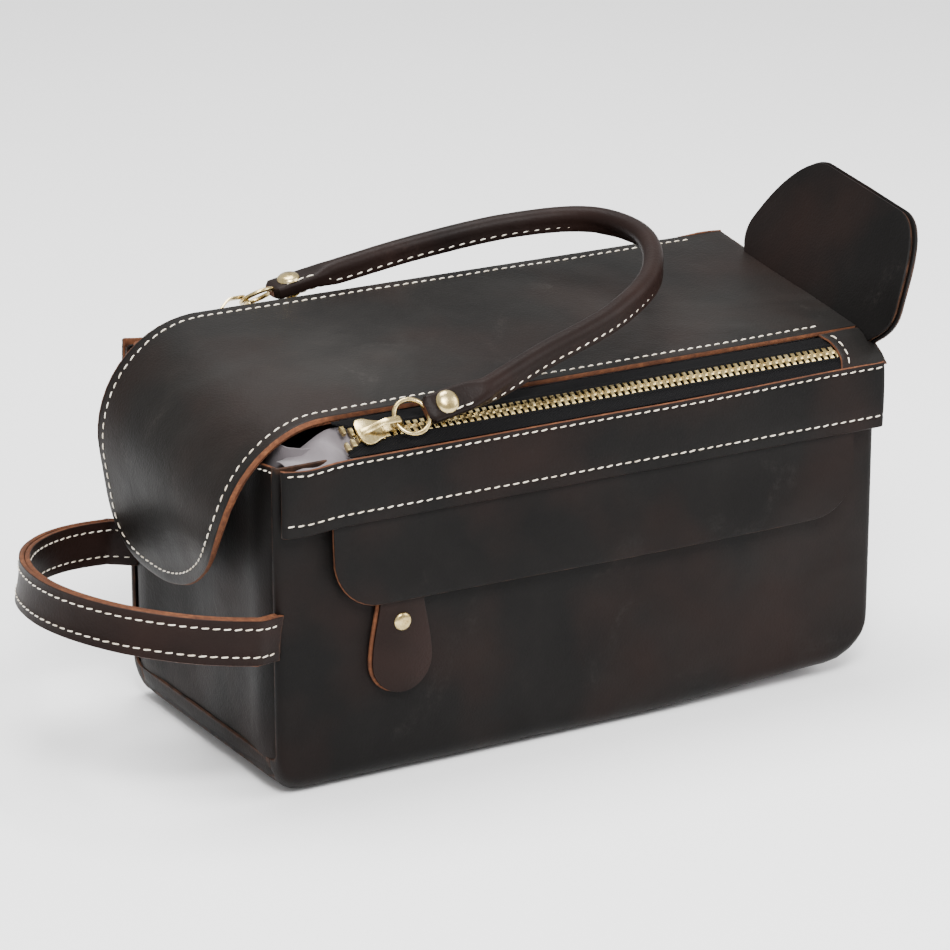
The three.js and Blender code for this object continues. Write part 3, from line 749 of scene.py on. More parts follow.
# ---------------------------------------------------------------- bands along the zips
def band_place(y_out, side, z_low, z_top):
    """The placed surface of a band: x along the bag, t from 0 at its lower edge to 1 at its top."""
    def top_of(x):
        droop = 1.3 * hump(x, -128, 9) - 1.2 * smooth((x - 40) / 90)
        return z_top - droop

    def place(x, t):
        x, t = floats(x, t)
        top = top_of(x)
        bottom = z_low - 1.2 * hump(x, -130, 10)
        z = bottom + (top - bottom) * t
        puff = 0.5 * np.sin(np.clip(t, 0, 1) * math.pi) - end_turn(x, 2.0)
        puff = puff + ripple(x, side * 40, z, 30) * 0.35 * smooth((HALF_L - np.abs(x)) / 10)
        groove = 0.22 * (hump(t, BAND_ROWS[0], 0.03) + hump(t, BAND_ROWS[1], 0.03))
        return np.stack([x, y_out + side * (puff - groove), z], axis=-1)

    return place


BAND_ROWS = (0.185, 0.935)


def add_band(name, node, y_out, side, z_low, z_top):
    """A strip of leather along the top of the front or back, with its two seams."""
    place = band_place(y_out, side, z_low, z_top)
    x = columns(4)
    near_rows = np.concatenate([np.array(BAND_ROWS) + d for d in (-0.045, -0.02, 0, 0.02)])
    t = np.union1d(np.linspace(0, 1, 9), near_rows)
    t = np.union1d(t, (0.012, 0.985))
    grid = place(x[None, :], t[:, None])
    piece = sheet(name, grid if side < 0 else flipped(grid), LAYER, BODY_LOOKS)
    dress("bag", piece, node)
    line = np.linspace(-HALF_L + 1.5, HALF_L - 1.5, 160)
    for label, row in zip(("low", "top"), BAND_ROWS):
        flat_seam(f"{name}_stitches_{label}", place(line, row), (0.0, side, 0.0))


# ---------------------------------------------------------------- lid
LID_HALF = (LID_BACK - LID_FRONT) / 2
LID_MID = (LID_BACK + LID_FRONT) / 2
LID_END = HALF_L + 1.0
STRAIGHT_AFTER = 1.72
TONGUE_LOW = 70.0
TONGUE_LOW_Y = 20.0
FRONT_SWEEP, BACK_SWEEP = 54.0, 32.0


def lid_place(depth=0.0):
    """The lid's surface, depth below its top face. u runs from the tongue's tip to the right end;
    left of the roll's start it measures the length round the roll. v is the depth of the bag."""

    def place(u, v):
        u, v = floats(u, v)
        turn = np.clip(ROLL_X - u, 0, None) / ROLL_R
        edge = smooth((LID_HALF - np.abs(v - LID_MID)) / 7)
        soft = ripple(u, v, 7, 46) * 0.9 + ripple(u, v, 31, 15) * 0.22
        sag = -1.3 * hump(u, 20, 80) * np.sin((v - LID_FRONT) / (2 * LID_HALF) * math.pi)
        radius = ROLL_R - depth + (soft * 0.7 + sag) * edge
        front = LID_FRONT_Z - ROLL_R + LID_RISE * (v - LID_FRONT)
        rest = np.clip(turn - STRAIGHT_AFTER, 0, None) * ROLL_R
        turn = np.minimum(turn, STRAIGHT_AFTER)
        x = np.where(turn > 0, ROLL_X - radius * np.sin(turn) - rest * np.cos(turn), u)
        z = front + radius * np.cos(turn) - rest * np.sin(turn)
        droop = 3.4 * smooth((ROLL_X - u) / 40) * smooth((-v + LID_FRONT + 30) / 30) * (u > ROLL_X - 90)
        return np.stack([x, v, z - droop * 0.4], axis=-1)

    return place


def tongue_tip(v, inset=0.0):
    """Where the tongue ends at each depth: a long curve up to the front, a tighter one to the back."""
    front = np.clip((TONGUE_LOW_Y - v) / (TONGUE_LOW_Y - LID_FRONT - inset), 0, 1)
    back = np.clip((v - TONGUE_LOW_Y) / (LID_BACK - TONGUE_LOW_Y - inset), 0, 1)
    sweep = FRONT_SWEEP * quarter(front) + BACK_SWEEP * (1 - np.cbrt(1 - back ** 3))
    height = TONGUE_LOW + inset + sweep
    drop = height - LID_RISE * (v - LID_FRONT) - LID_FRONT_Z + ROLL_R
    on_roll = np.arccos(np.clip(drop / ROLL_R, -1, 1))
    below = (ROLL_R * math.cos(STRAIGHT_AFTER) - drop) / math.sin(STRAIGHT_AFTER)
    return np.where(below > 0, ROLL_X - ROLL_R * STRAIGHT_AFTER - below, ROLL_X - ROLL_R * on_roll)


def lid_grid(place, u_right, inset=0.0, u_left=None, across=5.5):
    """Points of the lid from the tongue's tip, or from u_left, to u_right."""
    v = spread(LID_FRONT + inset, LID_BACK - inset, across, 6, (0, 0.3, 0.9, 1.8, 3.0, 4.4))
    t = np.concatenate([[0, 0.003, 0.008, 0.016], np.linspace(0.03, 0.97, 60), [0.985, 0.994, 1]])
    left = tongue_tip(v, inset) if u_left is None else np.full(v.shape, u_left)
    u = left[:, None] * (1 - t[None, :]) + u_right * t[None, :]
    return place(u, np.broadcast_to(v[:, None], u.shape))


def tongue_line(inset):
    """The stitching line round the lid: along the front edge, round the tongue, along the back."""
    v = LID_MID + LID_HALF * np.sin(np.linspace(-0.5, 0.5, 240) * math.pi)
    tip = tongue_tip(v)
    front = np.linspace(LID_END - 19, tip[0], 120)[:-1]
    back = np.linspace(tip[-1], LID_END - 19, 120)[1:]
    u = np.concatenate([front, tip, back])
    v = np.concatenate([np.full(front.shape, v[0]), v, np.full(back.shape, v[-1])])
    step = unit(np.stack([np.gradient(u), np.gradient(v)], 1))
    inward = np.stack([step[:, 1], -step[:, 0]], 1) * inset
    keep = slice(None, None, 3)
    return (u + inward[:, 0])[keep], (v + inward[:, 1])[keep]


def bend_lid(piece):
    return bend(piece, "lid", (LID_HINGE_X + 14, 0, LID_TOP), (LID_HINGE_X - 14, 0, LID_TOP))


def add_lid():
    """The top panel with its hanging tongue, the tongue's backing, the lining and the seam."""
    # The lid's skin uses the brighter leather: painted light for its top, which faces the lamps.
    top = sheet("lid_skin", lid_grid(lid_place(), LID_END), LID_T, PAINTED_LIGHT_LID_LOOKS)
    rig.replaces(bend_lid(top), "lid_outer", "top_end_panel")

    under = lid_place(LID_T + 0.25)
    looks = [RAW_EDGE, LEATHER, RAW_EDGE]
    backing = sheet("tongue_backing_skin", lid_grid(under, ROLL_X + 8, 1.0), 1.4, looks)
    dress("lid", backing, "tongue_backing")

    lining = lid_grid(under, LID_END - 22, 1.5, ROLL_X + 8.6)
    piece = sheet("lid_lining_skin", lining, 0.7, [LINING, LINING, LINING], wear=False)
    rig.replaces(bend_lid(piece), "lid_lining")

    u, v = tongue_line(4.6)
    place = lid_place()
    thread = stitches("lid_stitches", place(u, v), normals_of(place, u, v))
    bend_lid(thread)


# ---------------------------------------------------------------- zips
@functools.cache
def zip_frame(label):
    """Origin, across and out vectors of a zip, from its two rows of teeth."""
    a, b = middle(f"{label}_teeth_lower"), middle(f"{label}_teeth_upper")
    origin = np.array((0, (a + b)[1] / 2, (a + b)[2] / 2))
    across = np.array((0, *(b - a)[1:]))
    across = across / np.linalg.norm(across) * (1 if across[1] > 0 else -1)
    return origin, across, np.cross((1, 0, 0), across)


ROWS_START = -109.0


def parting(x, side):
    """The rows draw apart to the left of the closed slider."""
    return side * 3.6 * smooth((-99 - x) / 11)


def in_zip(label, x, across, out):
    """Turns places along, across and out of a zip into points."""
    origin, a, n = zip_frame(label)
    x, across, out = (c[..., None] for c in floats(x, across, out))
    return origin + x * np.array((1.0, 0, 0)) + across * a + out * n


def add_teeth(name, node, label, side, x0, x1, shift):
    """A row of moulded teeth that reach past the middle of the zip."""
    pitch, head, root, height = 3.1, 0.85, 3.0, 1.15
    shape = ((-0.92, root), (-0.92, 0.9), (-0.60, -head), (0.60, -head), (0.92, 0.9), (0.92, root))
    verts, faces = [], []
    for x in np.arange(x0 + 1, x1, pitch) + shift:
        first = len(verts)
        for scale, out in ((0.70, -height), (1, -height + 0.35), (1, height - 0.35), (0.70, height)):
            for dx, da in shape:
                place = (da - 1.05) * scale + 1.05
                verts.append(in_zip(label, x + dx * scale, side * place + parting(x, side), out))
        faces += ring_faces(4, len(shape), first) + end_faces(4, len(shape), first)
    teeth = make_object(name, verts, faces, [BRASS])
    fix_normals(teeth)
    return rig.replaces(teeth, node)


def fix_normals(obj):
    """Turns every face of a closed mesh outward and marks its sharp edges."""
    work = bmesh.new()
    work.from_mesh(obj.data)
    bmesh.ops.recalc_face_normals(work, faces=work.faces)
    work.to_mesh(obj.data)
    work.free()
    return crease(obj, 35)


def add_tape(name, node, label, side, x0, x1, width):
    """Half of a zip's tape, with a corded edge next to the teeth."""
    x = np.arange(x0, x1 + 0.1, 5.0)
    across = np.array((2.4, 2.6, 3.2, 3.9, 4.4, 4.9, 6.5, width - 0.3, width))
    cord = 0.9 * hump(across, 3.7, 0.8)
    x, across = np.broadcast_arrays(x[None, :], across[:, None])
    grid = in_zip(label, x, side * across + parting(x, side) * (1 - (across - 4) / (width - 4)),
                  0.3 + cord[:, None])
    piece = sheet(name, grid if side > 0 else flipped(grid), 0.7, [TAPE, TAPE, TAPE], wear=False)
    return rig.replaces(piece, node)


def add_zip(label):
    """Both halves of a top zip. The lid's half bends with the lid."""
    low_side = -1 if label == "front" else 1
    for part, side in (("lower", low_side), ("upper", -low_side)):
        node = f"{label}_teeth_{part}"
        shift = 0 if part == "lower" else 1.55
        x0, x1 = ROWS_START, high(node)[0] + 1.5
        teeth = add_teeth(f"{label}_zip_teeth_{part}", node, label, side, x0, x1, shift)
        tape_node = f"{label}_tape_{part}"
        width = np.abs((high(tape_node) - low(tape_node))[1:])
        width = 4.6 + math.hypot(*width) - 1.0
        tape = add_tape(f"{label}_zip_tape_{part}", tape_node, label, side, x0, x1 + 6, width)
        for piece in (teeth, tape):
            if part == "lower":
                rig.ride(piece, "bag")
            else:
                bend_lid(piece)


def add_end_patch(label):
    """The leather that covers a zip's closed end, with a concave stitched edge."""
    node = f"{label}_end_patch"
    across = np.linspace(-10.5, 10.0, 15)

    def hollow(a):
        return 118.6 + 3.2 * (1 - ((a + 0.3) / 10.5) ** 2)

    t = np.concatenate([[0, 0.03, 0.1], np.linspace(0.2, 1, 7)])
    left = hollow(across)
    x = left[None, :] * (1 - t[:, None]) + LID_END * t[:, None]
    a = np.broadcast_to(across[None, :], x.shape)
    out = 2.5 - 0.9 * smooth((np.abs(a) - 5) / 5) + 0.3 * np.sin(x / 4)
    grid = in_zip(label, x, a, out)
    # The end patch uses the lid's brighter leather: painted light from above.
    piece = sheet(f"{label}_zip_end_patch", grid.transpose(1, 0, 2), 1.5, PAINTED_LIGHT_LID_LOOKS)
    dress("bag", piece, node)
    line = np.linspace(-8.6, 8.4, 30)
    points = in_zip(label, hollow(line) + 3.0, line, 2.45 - 0.9 * smooth((np.abs(line) - 5) / 5))
    flat_seam(f"{label}_zip_end_stitches", points, zip_frame(label)[2])


# ---------------------------------------------------------------- hardware
def basis(origin, x, y, z):
    """The matrix of a frame with this origin and these axes."""
    matrix = Matrix.Identity(4)
    for column, axis in enumerate((x, y, z)):
        for row in range(3):
            matrix[row][column] = float(axis[row])
    for row in range(3):
        matrix[row][3] = float(origin[row])
    return matrix


def place_points(points, matrix):
    return [np.array(matrix @ Vector(p)) for p in points]


def slab(outline, z_low, z_high, bevel=0.4):
    """Points and faces of a flat part with rounded rims, from an anticlockwise outline."""
    outline = np.asarray(outline, float)
    count = len(outline)
    centre = outline.mean(0)
    inward = unit(centre - outline) * bevel
    levels = ((inward, z_low), (inward * 0.3, z_low + bevel * 0.3), (inward * 0, z_low + bevel),
              (inward * 0, z_high - bevel), (inward * 0.3, z_high - bevel * 0.3), (inward, z_high))
    points = np.concatenate([np.column_stack([outline + shift, np.full(count, z)]) for shift, z in levels])
    return points, end_faces(6, count) + ring_faces(6, count)


def tube(path, normals, wide, thick, sides=14):
    """Points and faces of a rounded bar along a path; wide lies across the normals."""
    path = np.asarray(path, float)
    tangent = unit(np.gradient(path, axis=0))
    side = unit(np.cross(normals, tangent))
    up = unit(np.cross(tangent, side))
    angle = np.linspace(0, 2 * math.pi, sides, endpoint=False)
    out = squared(np.cos(angle), 0.7) * wide / 2
    rise = squared(np.sin(angle), 0.7) * thick / 2
    points = path[:, None] + side[:, None] * out[None, :, None] + up[:, None] * rise[None, :, None]
    points = points.reshape(-1, 3)
    return points, ring_faces(len(path), sides) + end_faces(len(path), sides)


def ring_bar(centre, radius_x, radius_y, wire, plane_x, plane_y, steps=40, sides=12):
    """Points and faces of a round wire bent into a closed oval."""
    turn = np.linspace(0, 2 * math.pi, steps, endpoint=False)
    points = []
    plane_x, plane_y = np.asarray(plane_x, float), np.asarray(plane_y, float)
    axis = np.cross(plane_x, plane_y)
    for t in turn:
        spoke = plane_x * math.cos(t) + plane_y * math.sin(t)
        core = centre + plane_x * radius_x * math.cos(t) + plane_y * radius_y * math.sin(t)
        for s in range(sides):
            angle = 2 * math.pi * s / sides
            points.append(core + (spoke * math.cos(angle) + axis * math.sin(angle)) * wire)
    faces = [tuple(k % len(points) for k in face) for face in ring_faces(steps + 1, sides)]
    return np.array(points), faces


def merge(name, parts, look):
    """One object from several closed parts."""
    points, faces = [], []
    for part_points, part_faces in parts:
        first = sum(len(p) for p in points)
        points.append(np.asarray(part_points))
        faces += [tuple(k + first for k in face) for face in part_faces]
    obj = make_object(name, np.concatenate(points), faces, [look])
    return fix_normals(obj)


SLIDER_X = -96.0
PLATE_IN, PLATE_OUT = 1.35, 2.6


def slider_outline():
    """A zip slider's plate seen from above: a broad rounded nose narrowing to its tail."""
    x = np.array((-6.4, -6.0, -4.9, -3.2, -1.0, 1.5, 4.5, 5.6))
    half = np.array((2.0, 4.4, 6.0, 6.6, 6.3, 5.1, 4.2, 2.8))
    upper = np.stack([x, half], 1)[::-1]
    lower = np.stack([x, -half], 1)
    return np.concatenate([lower, upper])


def add_slider(label, body):
    """A zip slider: two plates, lips, the nose wedge, the bridge for the ring and a tail."""
    node = f"{label}_slider"
    origin, across, out = zip_frame(label)
    matrix = basis(origin + np.array((SLIDER_X, 0, 0)), (1, 0, 0), across, out)
    height = (joint(f"{label}_ring_lift")[0] - origin) @ out
    parts = [slab(slider_outline(), PLATE_IN, PLATE_OUT), slab(slider_outline(), -PLATE_OUT, -PLATE_IN)]
    parts.append(slab(((-5.2, -0.4), (-2.2, -0.4), (-2.2, 0.4), (-5.2, 0.4)), -1.6, 1.6, 0.1))
    for side in (-1, 1):
        lip = np.array([(x, side * (5.2 - 0.16 * (x + 3.0)), 1.1) for x in np.linspace(-2.6, 4.2, 5)])
        parts.append(tube(lip, np.tile((0, 0, 1.0), (5, 1)), 0.8, 1.3, 8))
    t = np.linspace(0, 1, 22)
    top = height + 1.9
    arch = smooth(t / 0.6) * (1 - smooth((t - 0.86) / 0.14))
    bridge = np.stack([-5.0 + 18.6 * t, np.zeros(22), 2.4 + (top - 2.4) * arch], 1)
    tangent = unit(np.gradient(bridge, axis=0))
    parts.append(tube(bridge, np.cross(tangent, (0, 1.0, 0)), 3.0, 1.2, 10))
    tail = ((4.0, -2.1), (13.4, -1.5), (13.9, 0), (13.4, 1.5), (4.0, 2.1))
    parts.append(slab(tail, 1.5, PLATE_OUT, 0.25))
    parts = [(place_points(points, matrix), faces) for points, faces in parts]
    dress(body, merge(f"{label}_zip_slider", parts, BRASS), node)


def strap_axes():
    """The strap's own frame: along the strap, across from front ring to back ring, and up."""
    front, _ = joint("front_ring_lift")
    back, _ = joint("back_ring_lift")
    across = unit(back - front)
    tilt = math.radians(11)
    up = unit(np.cross((math.cos(tilt), 0, math.sin(tilt)), across))
    return (front + back) / 2, np.cross(across, up), across, up, np.linalg.norm(back - front) / 2


ORIGIN, ALONG, ACROSS, UP, HALF_SPAN = strap_axes()
RIVET_AT = 22.0
STRAP_POINTS = ((39, -HALF_SPAN), (70, -56), (112, -45), (142, -25), (157, 6),
                (150, 34), (122, 52), (80, 62), (39, HALF_SPAN))


def in_strap(s, w, h=0.0):
    """Turns places along, across and above the strap into points."""
    s, w, h = (c[..., None] for c in floats(s, w, h))
    return ORIGIN + s * ALONG + w * ACROSS + h * UP


def catmull(points, per_span):
    """A smooth centripetal curve through the points."""
    points = np.asarray(points, float)
    ends = np.concatenate([[2 * points[0] - points[1]], points, [2 * points[-1] - points[-2]]])
    line = []
    for k in range(1, len(ends) - 2):
        p = ends[k - 1:k + 3]
        knots = np.concatenate([[0], np.cumsum(np.linalg.norm(np.diff(p, axis=0), axis=1) ** 0.5)])
        for t in np.linspace(knots[1], knots[2], per_span, endpoint=False):
            a = [blend_at(p[i], p[i + 1], knots[i], knots[i + 1], t) for i in range(3)]
            b = [blend_at(a[i], a[i + 1], knots[i], knots[i + 2], t) for i in range(2)]
            line.append(blend_at(b[0], b[1], knots[1], knots[2], t))
    line.append(points[-1])
    return np.array(line)


def blend_at(p, q, a, b, t):
    return (p * (b - t) + q * (t - a)) / (b - a)


STRAP_R = 4.3
FIN = 2.4
STRIP_HALF = 5.8
STRIP_T = 5.8


def strap_outline(roll, fin_angle, sides=32):
    """Cross-section of the strap: flat strip for roll 0, round tube with a sewn fin for roll 1.
    First value is towards the inside of the loop, second is up."""
    angle = np.linspace(0, 2 * math.pi, sides, endpoint=False)
    flat = np.stack([STRIP_HALF * squared(np.cos(angle), 0.45),
                     STRIP_T / 2 * squared(np.sin(angle), 0.45)], 1)
    off = np.angle(np.exp(1j * (angle - fin_angle)))
    reach = STRAP_R + FIN * hump(off, 0, 0.36)
    round_part = np.stack([reach * np.cos(angle), reach * np.sin(angle)], 1)
    return flat * (1 - roll) + round_part * roll


FRONT_TURN = math.radians(45)


def turned(pairs, angle):
    """Pairs (inwards, up) of the cross-section turned about the strap's length."""
    angle = np.asarray(angle)[..., None]
    a, b = pairs[..., :1], pairs[..., 1:]
    return np.concatenate([a * np.cos(angle) - b * np.sin(angle),
                           a * np.sin(angle) + b * np.cos(angle)], -1)


def add_strap():
    """The strap that joins the zip pulls: rolled leather with flat riveted ends, and its seam."""
    loop = catmull(STRAP_POINTS, 14)
    lead = np.stack([np.linspace(13.0, 38, 14), np.full(14, -HALF_SPAN)], 1)
    tail = np.stack([np.linspace(38, 13.0, 14), np.full(14, HALF_SPAN)], 1)
    path = np.concatenate([lead, loop, tail])
    steps = length_along(path)
    tangent = unit(np.gradient(path, axis=0))
    inside = np.stack([-tangent[:, 1], tangent[:, 0]], 1)
    ends = np.minimum(steps, steps[-1] - steps)
    roll = smooth((ends - 16) / 15)
    fin = np.arctan2(-0.72, -0.70 * tangent[:, 0])
    turn = FRONT_TURN * (1 - smooth((steps - 20) / 30))
    rings = []
    for k in range(len(path)):
        shape = strap_outline(roll[k], fin[k])
        taper = 1 - 0.35 * (1 - smooth(ends[k] / 2.0))
        shape = turned(shape * taper, turn[k])
        flat = path[k] + inside[k] * shape[:, :1]
        wobble = 1 + 0.02 * noise.noise(Vector((k * 0.31, 0, 5)))
        rings.append(in_strap(flat[:, 0], flat[:, 1], shape[:, 1] * wobble))
    sides = rings[0].shape[0]
    verts = np.concatenate(rings)
    faces = ring_faces(len(path), sides)
    looks = [0] * len(faces) + [1, 1]
    faces += end_faces(len(path), sides)
    strap = make_object("strap_roll", verts, faces, [STRAP_LEATHER, RAW_EDGE], looks)
    fix_normals(strap)
    dress("strap", strap, "strap_cover", "strap_core", "strap_end_front", "strap_end_back")

    sewn = ends > 4
    direction = np.stack([np.cos(fin), np.sin(fin)], 1)[sewn]
    towards = unit(np.stack([-0.7 * tangent[:, 0], np.full(len(path), 0.72)], 1))[sewn]
    for label, sign in (("over", 1), ("under", -1)):
        side = towards * sign
        out = STRAP_R + FIN * 0.42
        wide = (direction * out + side * 1.35) * roll[sewn][:, None]
        flat = np.stack([-4.0 * tangent[sewn][:, 0], np.full(sewn.sum(), 3.0 * sign)], 1)
        offset = turned(wide + flat * (1 - roll[sewn])[:, None], turn[sewn])
        side = turned(side, turn[sewn])
        middle_line = path[sewn] + inside[sewn] * offset[:, :1]
        points = in_strap(middle_line[:, 0], middle_line[:, 1], offset[:, 1])
        inwards = inside[sewn][:, :1] * ALONG + inside[sewn][:, 1:] * ACROSS
        normals = unit(inwards * side[:, :1] + UP * side[:, 1:])
        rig.ride(stitches(f"strap_stitches_{label}", points, normals, pitch=4.6), "strap")


def dome(centre, axis, side, radius, rise, shank):
    """A cap rivet's head: a low dome with a rolled rim and a shank below."""
    profile = [(0, rise), (radius * 0.45, rise * 0.93), (radius * 0.78, rise * 0.68),
               (radius * 0.95, rise * 0.32), (radius, 0.0), (radius * 0.93, -0.25),
               (radius * 0.3, -0.25), (radius * 0.3, -shank)]
    axis = np.asarray(axis, float)
    side = np.asarray(side, float)
    third = np.cross(axis, side)
    points, count = [], 24
    for r, h in profile:
        for s in range(count):
            angle = 2 * math.pi * s / count
            spoke = side * math.cos(angle) + third * math.sin(angle)
            points.append(centre + axis * h + spoke * max(r, 0.02))
    return np.array(points), ring_faces(len(profile), count) + end_faces(len(profile), count)


RING_LENGTH, RING_WIDTH, RING_WIRE = 14.0, 14.8, 1.9
RING_LEAN = math.radians(40)
RIVET_R, RIVET_RISE = 4.8, 2.0


def add_rings_and_rivets():
    """The pull rings and the cap rivets of the strap's ends."""
    for label, w in (("front", -HALF_SPAN), ("back", HALF_SPAN)):
        lean = RING_LEAN if label == "front" else -RING_LEAN
        tipped = ACROSS * math.cos(lean) + UP * math.sin(lean)
        centre = in_strap(RING_LENGTH / 2, w)
        ring = ring_bar(centre, RING_LENGTH / 2, RING_WIDTH / 2, RING_WIRE / 2, ALONG, tipped)
        ring = merge(f"{label}_pull_ring", [ring], BRASS)
        dress(f"{label}_ring", ring, f"{label}_ring")
        turn = FRONT_TURN if label == "front" else 0.0
        axis = UP * math.cos(turn) - ACROSS * math.sin(turn)
        centre = in_strap(RIVET_AT, w)
        caps = [dome(centre + axis * 3.0 * sign, axis * sign, ALONG, RIVET_R, RIVET_RISE, 2.6)
                for sign in (1, -1)]
        rivet = merge(f"{label}_strap_rivet_cap", caps, BRASS)
        dress("strap", rivet, f"strap_rivet_{label}")


# ---------------------------------------------------------------- handle and end tab
HANDLE_X, HANDLE_Z = joint("handle_swing")[0][0], joint("handle_swing")[0][2]
HANDLE_TILT = math.radians(7)
HANDLE_T = 2.1
LOOP_REACH, LOOP_HALF = 69.5, 70.3
HANDLE_ROWS = 5.6


def handle_path(inset, count=90):
    """The handle in plan: a half ellipse whose ends dive into the side seams."""
    t = np.linspace(-1, 1, count)
    angle = t * math.radians(92)
    x = -4.5 - (LOOP_REACH - inset) * np.cos(angle)
    y = (LOOP_HALF - inset) * np.sin(angle)
    dive = smooth((np.abs(t) - 0.93) / 0.07)
    return x + dive * 4.0, y - np.sign(y) * dive * 5.0


def handle_place(inset):
    """The placed surface of the side loop: u runs round it, v across its width."""
    px, py = handle_path(inset)
    at = length_along(np.stack([px, py], 1))

    def place(u, v):
        u, v = floats(u, v)
        x, y = np.interp(u, at, px), np.interp(u, at, py)
        ahead_x, ahead_y = np.interp(u + 0.8, at, px), np.interp(u + 0.8, at, py)
        back_x, back_y = np.interp(u - 0.8, at, px), np.interp(u - 0.8, at, py)
        t = unit(np.stack([ahead_x - back_x, ahead_y - back_y], -1))
        inward = np.stack([-t[..., 1], t[..., 0]], -1)
        cup = 0.5 * (1 - (v / 9) ** 2) + 0.25 * ripple(u, v, 3, 24)
        cup = cup - 0.2 * hump(np.abs(v), HANDLE_ROWS, 0.7)
        x = x - inward[..., 0] * cup
        y = y - inward[..., 1] * cup
        z = v + 0.6 * np.sin(u / at[-1] * math.pi * 2)
        turned_x = x * math.cos(HANDLE_TILT) + z * math.sin(HANDLE_TILT)
        turned_z = -x * math.sin(HANDLE_TILT) + z * math.cos(HANDLE_TILT)
        return np.stack([HANDLE_X + turned_x, y, HANDLE_Z + turned_z], -1)

    return place, at[-1]


def bend_handle(piece):
    return bend(piece, "handle", (HANDLE_X - 1, 0, HANDLE_Z), (HANDLE_X - 12, 0, HANDLE_Z))


def add_handle():
    """The two-layer side loop with two rows of stitches on each face."""
    near_edge = np.array((3.5, 4.9, 5.6, 6.3, 7.0, 8.2, 8.8, 9.0))
    rows = np.concatenate([-near_edge[::-1], (0,), near_edge])
    for name, node, inset in (("handle_outer_skin", "handle_outer", 0.0),
                              ("handle_inner_skin", "handle_inner", 2.4)):
        place, length = handle_place(inset)
        u = np.linspace(0, length, 90)
        grid = place(u[None, :], rows[:, None])
        looks = STRAP_LOOKS if inset == 0 else [RAW_EDGE, STRAP_LEATHER, RAW_EDGE]
        piece = sheet(name, grid[::-1], HANDLE_T, looks)
        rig.replaces(bend_handle(piece), node)
    for face, inset, sign in (("out", 0.0, -1), ("in", 4.5, 1)):
        place, length = handle_place(inset)
        line = np.linspace(3, length - 3, 200)
        for label, v in (("top", HANDLE_ROWS), ("low", -HANDLE_ROWS)):
            normals = normals_of(place, line, np.full(line.shape, v)) * sign
            bend_handle(stitches(f"handle_stitches_{label}_{face}", place(line, v), normals))


TAB_HINGE = joint("end_tab_fold")[0]
TAB_ACROSS = joint("end_tab_fold")[1]
TAB_LEAN = math.radians(65)
TAB_HEIGHT, TAB_ROOT, TAB_TOP = 54.0, 57.0, 49.0


def tab_axes():
    """The end tab's upward and outward directions."""
    lean = np.array((math.cos(TAB_LEAN), 0, math.sin(TAB_LEAN)))
    out = unit(np.cross(TAB_ACROSS, lean))
    return np.cross(out, TAB_ACROSS), out


def tab_half(t, root, top):
    """Half width of the end tab at height share t, with round upper corners."""
    half = root + (top - root) * smooth(t * 1.1) - 8.0 * np.clip(1 - t / 0.3, 0, 1.3) ** 2
    corner = np.clip((t - 0.42) / 0.58, 0, 1)
    return half - 22 * quarter(corner ** 1.1)


def tab_place(offset):
    """The placed surface of the end tab, offset from the hinge: u across, v upwards."""
    along, out = tab_axes()

    def place(u, v):
        u, v = floats(u, v)
        above = np.maximum(v, 0)
        curl = 4.0 * (above / TAB_HEIGHT) ** 2 + 1.2 * np.sin(u / 34 + 0.6) * smooth(above / 30)
        curl = curl + ripple(u, v, 12, 30) * 0.5 * smooth(above / 14)
        origin = TAB_HINGE + u[..., None] * TAB_ACROSS + above[..., None] * along
        origin = origin + np.minimum(v, 0)[..., None] * np.array((0.12, 0, 1.0))
        origin = origin - (3.4 + 0.055 * np.clip(v, 0, 90))[..., None] * np.array((1.0, 0, 0))
        return origin + (offset + curl)[..., None] * out

    return place


def bend_tab(piece):
    along, _ = tab_axes()
    return bend(piece, "end_tab", TAB_HINGE, TAB_HINGE + along * 12)


def add_end_tab():
    """The two-layer tab that stands up at the right end."""
    t = np.concatenate([(-0.20, -0.14, -0.08, -0.035), np.linspace(0, 0.9, 22)])
    t = np.concatenate([t, (0.94, 0.965, 0.982, 0.993, 0.998, 1.0)])
    s = np.concatenate([(-1, -0.995, -0.98), np.linspace(-0.94, 0.94, 24), (0.98, 0.995, 1)])
    for name, node, offset, trim in (("end_tab_outer_skin", "end_tab_outer", 1.95, 0),
                                     ("end_tab_inner_skin", "end_tab_inner", -0.15, 1)):
        place = tab_place(offset)
        half = tab_half(t, TAB_ROOT - trim, TAB_TOP - trim)
        rise = 1 + t[:, None] * (TAB_HEIGHT - 1 - trim)
        grid = place(s[None, :] * half[:, None], rise * np.ones_like(s))
        looks = SEAM_LOOKS if trim == 0 else [RAW_EDGE, LEATHER, LEATHER]
        piece = sheet(name, grid, 1.8, looks)
        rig.replaces(bend_tab(piece), node)


# ---------------------------------------------------------------- front pocket
FLAP_HINGE = joint("pocket_flap_lift")[0]


def flap_place(x, t):
    """The pocket flap: t is 0 at its lower edge and 1 at its sewn top."""
    x, t = floats(x, t)
    left, right = FLAP_LOW[0], FLAP_HIGH[0]
    corner = 20.0
    reach = np.clip((np.minimum(x - left, right - x)) / corner, 0, 1)
    edge = FLAP_LOW[2] + corner * quarter(1 - reach)
    edge = edge - 0.8 * np.sin((x - left) / (right - left) * math.pi)
    z = edge + (FLAP_HIGH[2] + 3.0 - edge) * t
    lift = 2.2 * smooth((108 - z) / 30) + 0.6 * np.sin(x / 41) * smooth((104 - z) / 24)
    lift = lift + ripple(x, 5, z, 26) * 0.35 * smooth((106 - z) / 14)
    return np.stack([x, FLAP_LOW[1] - lift, z], axis=-1)


def bend_flap(piece):
    y, z = FLAP_HINGE[1:]
    return bend(piece, "flap", (0, y, z + 1), (0, y, z - 5))


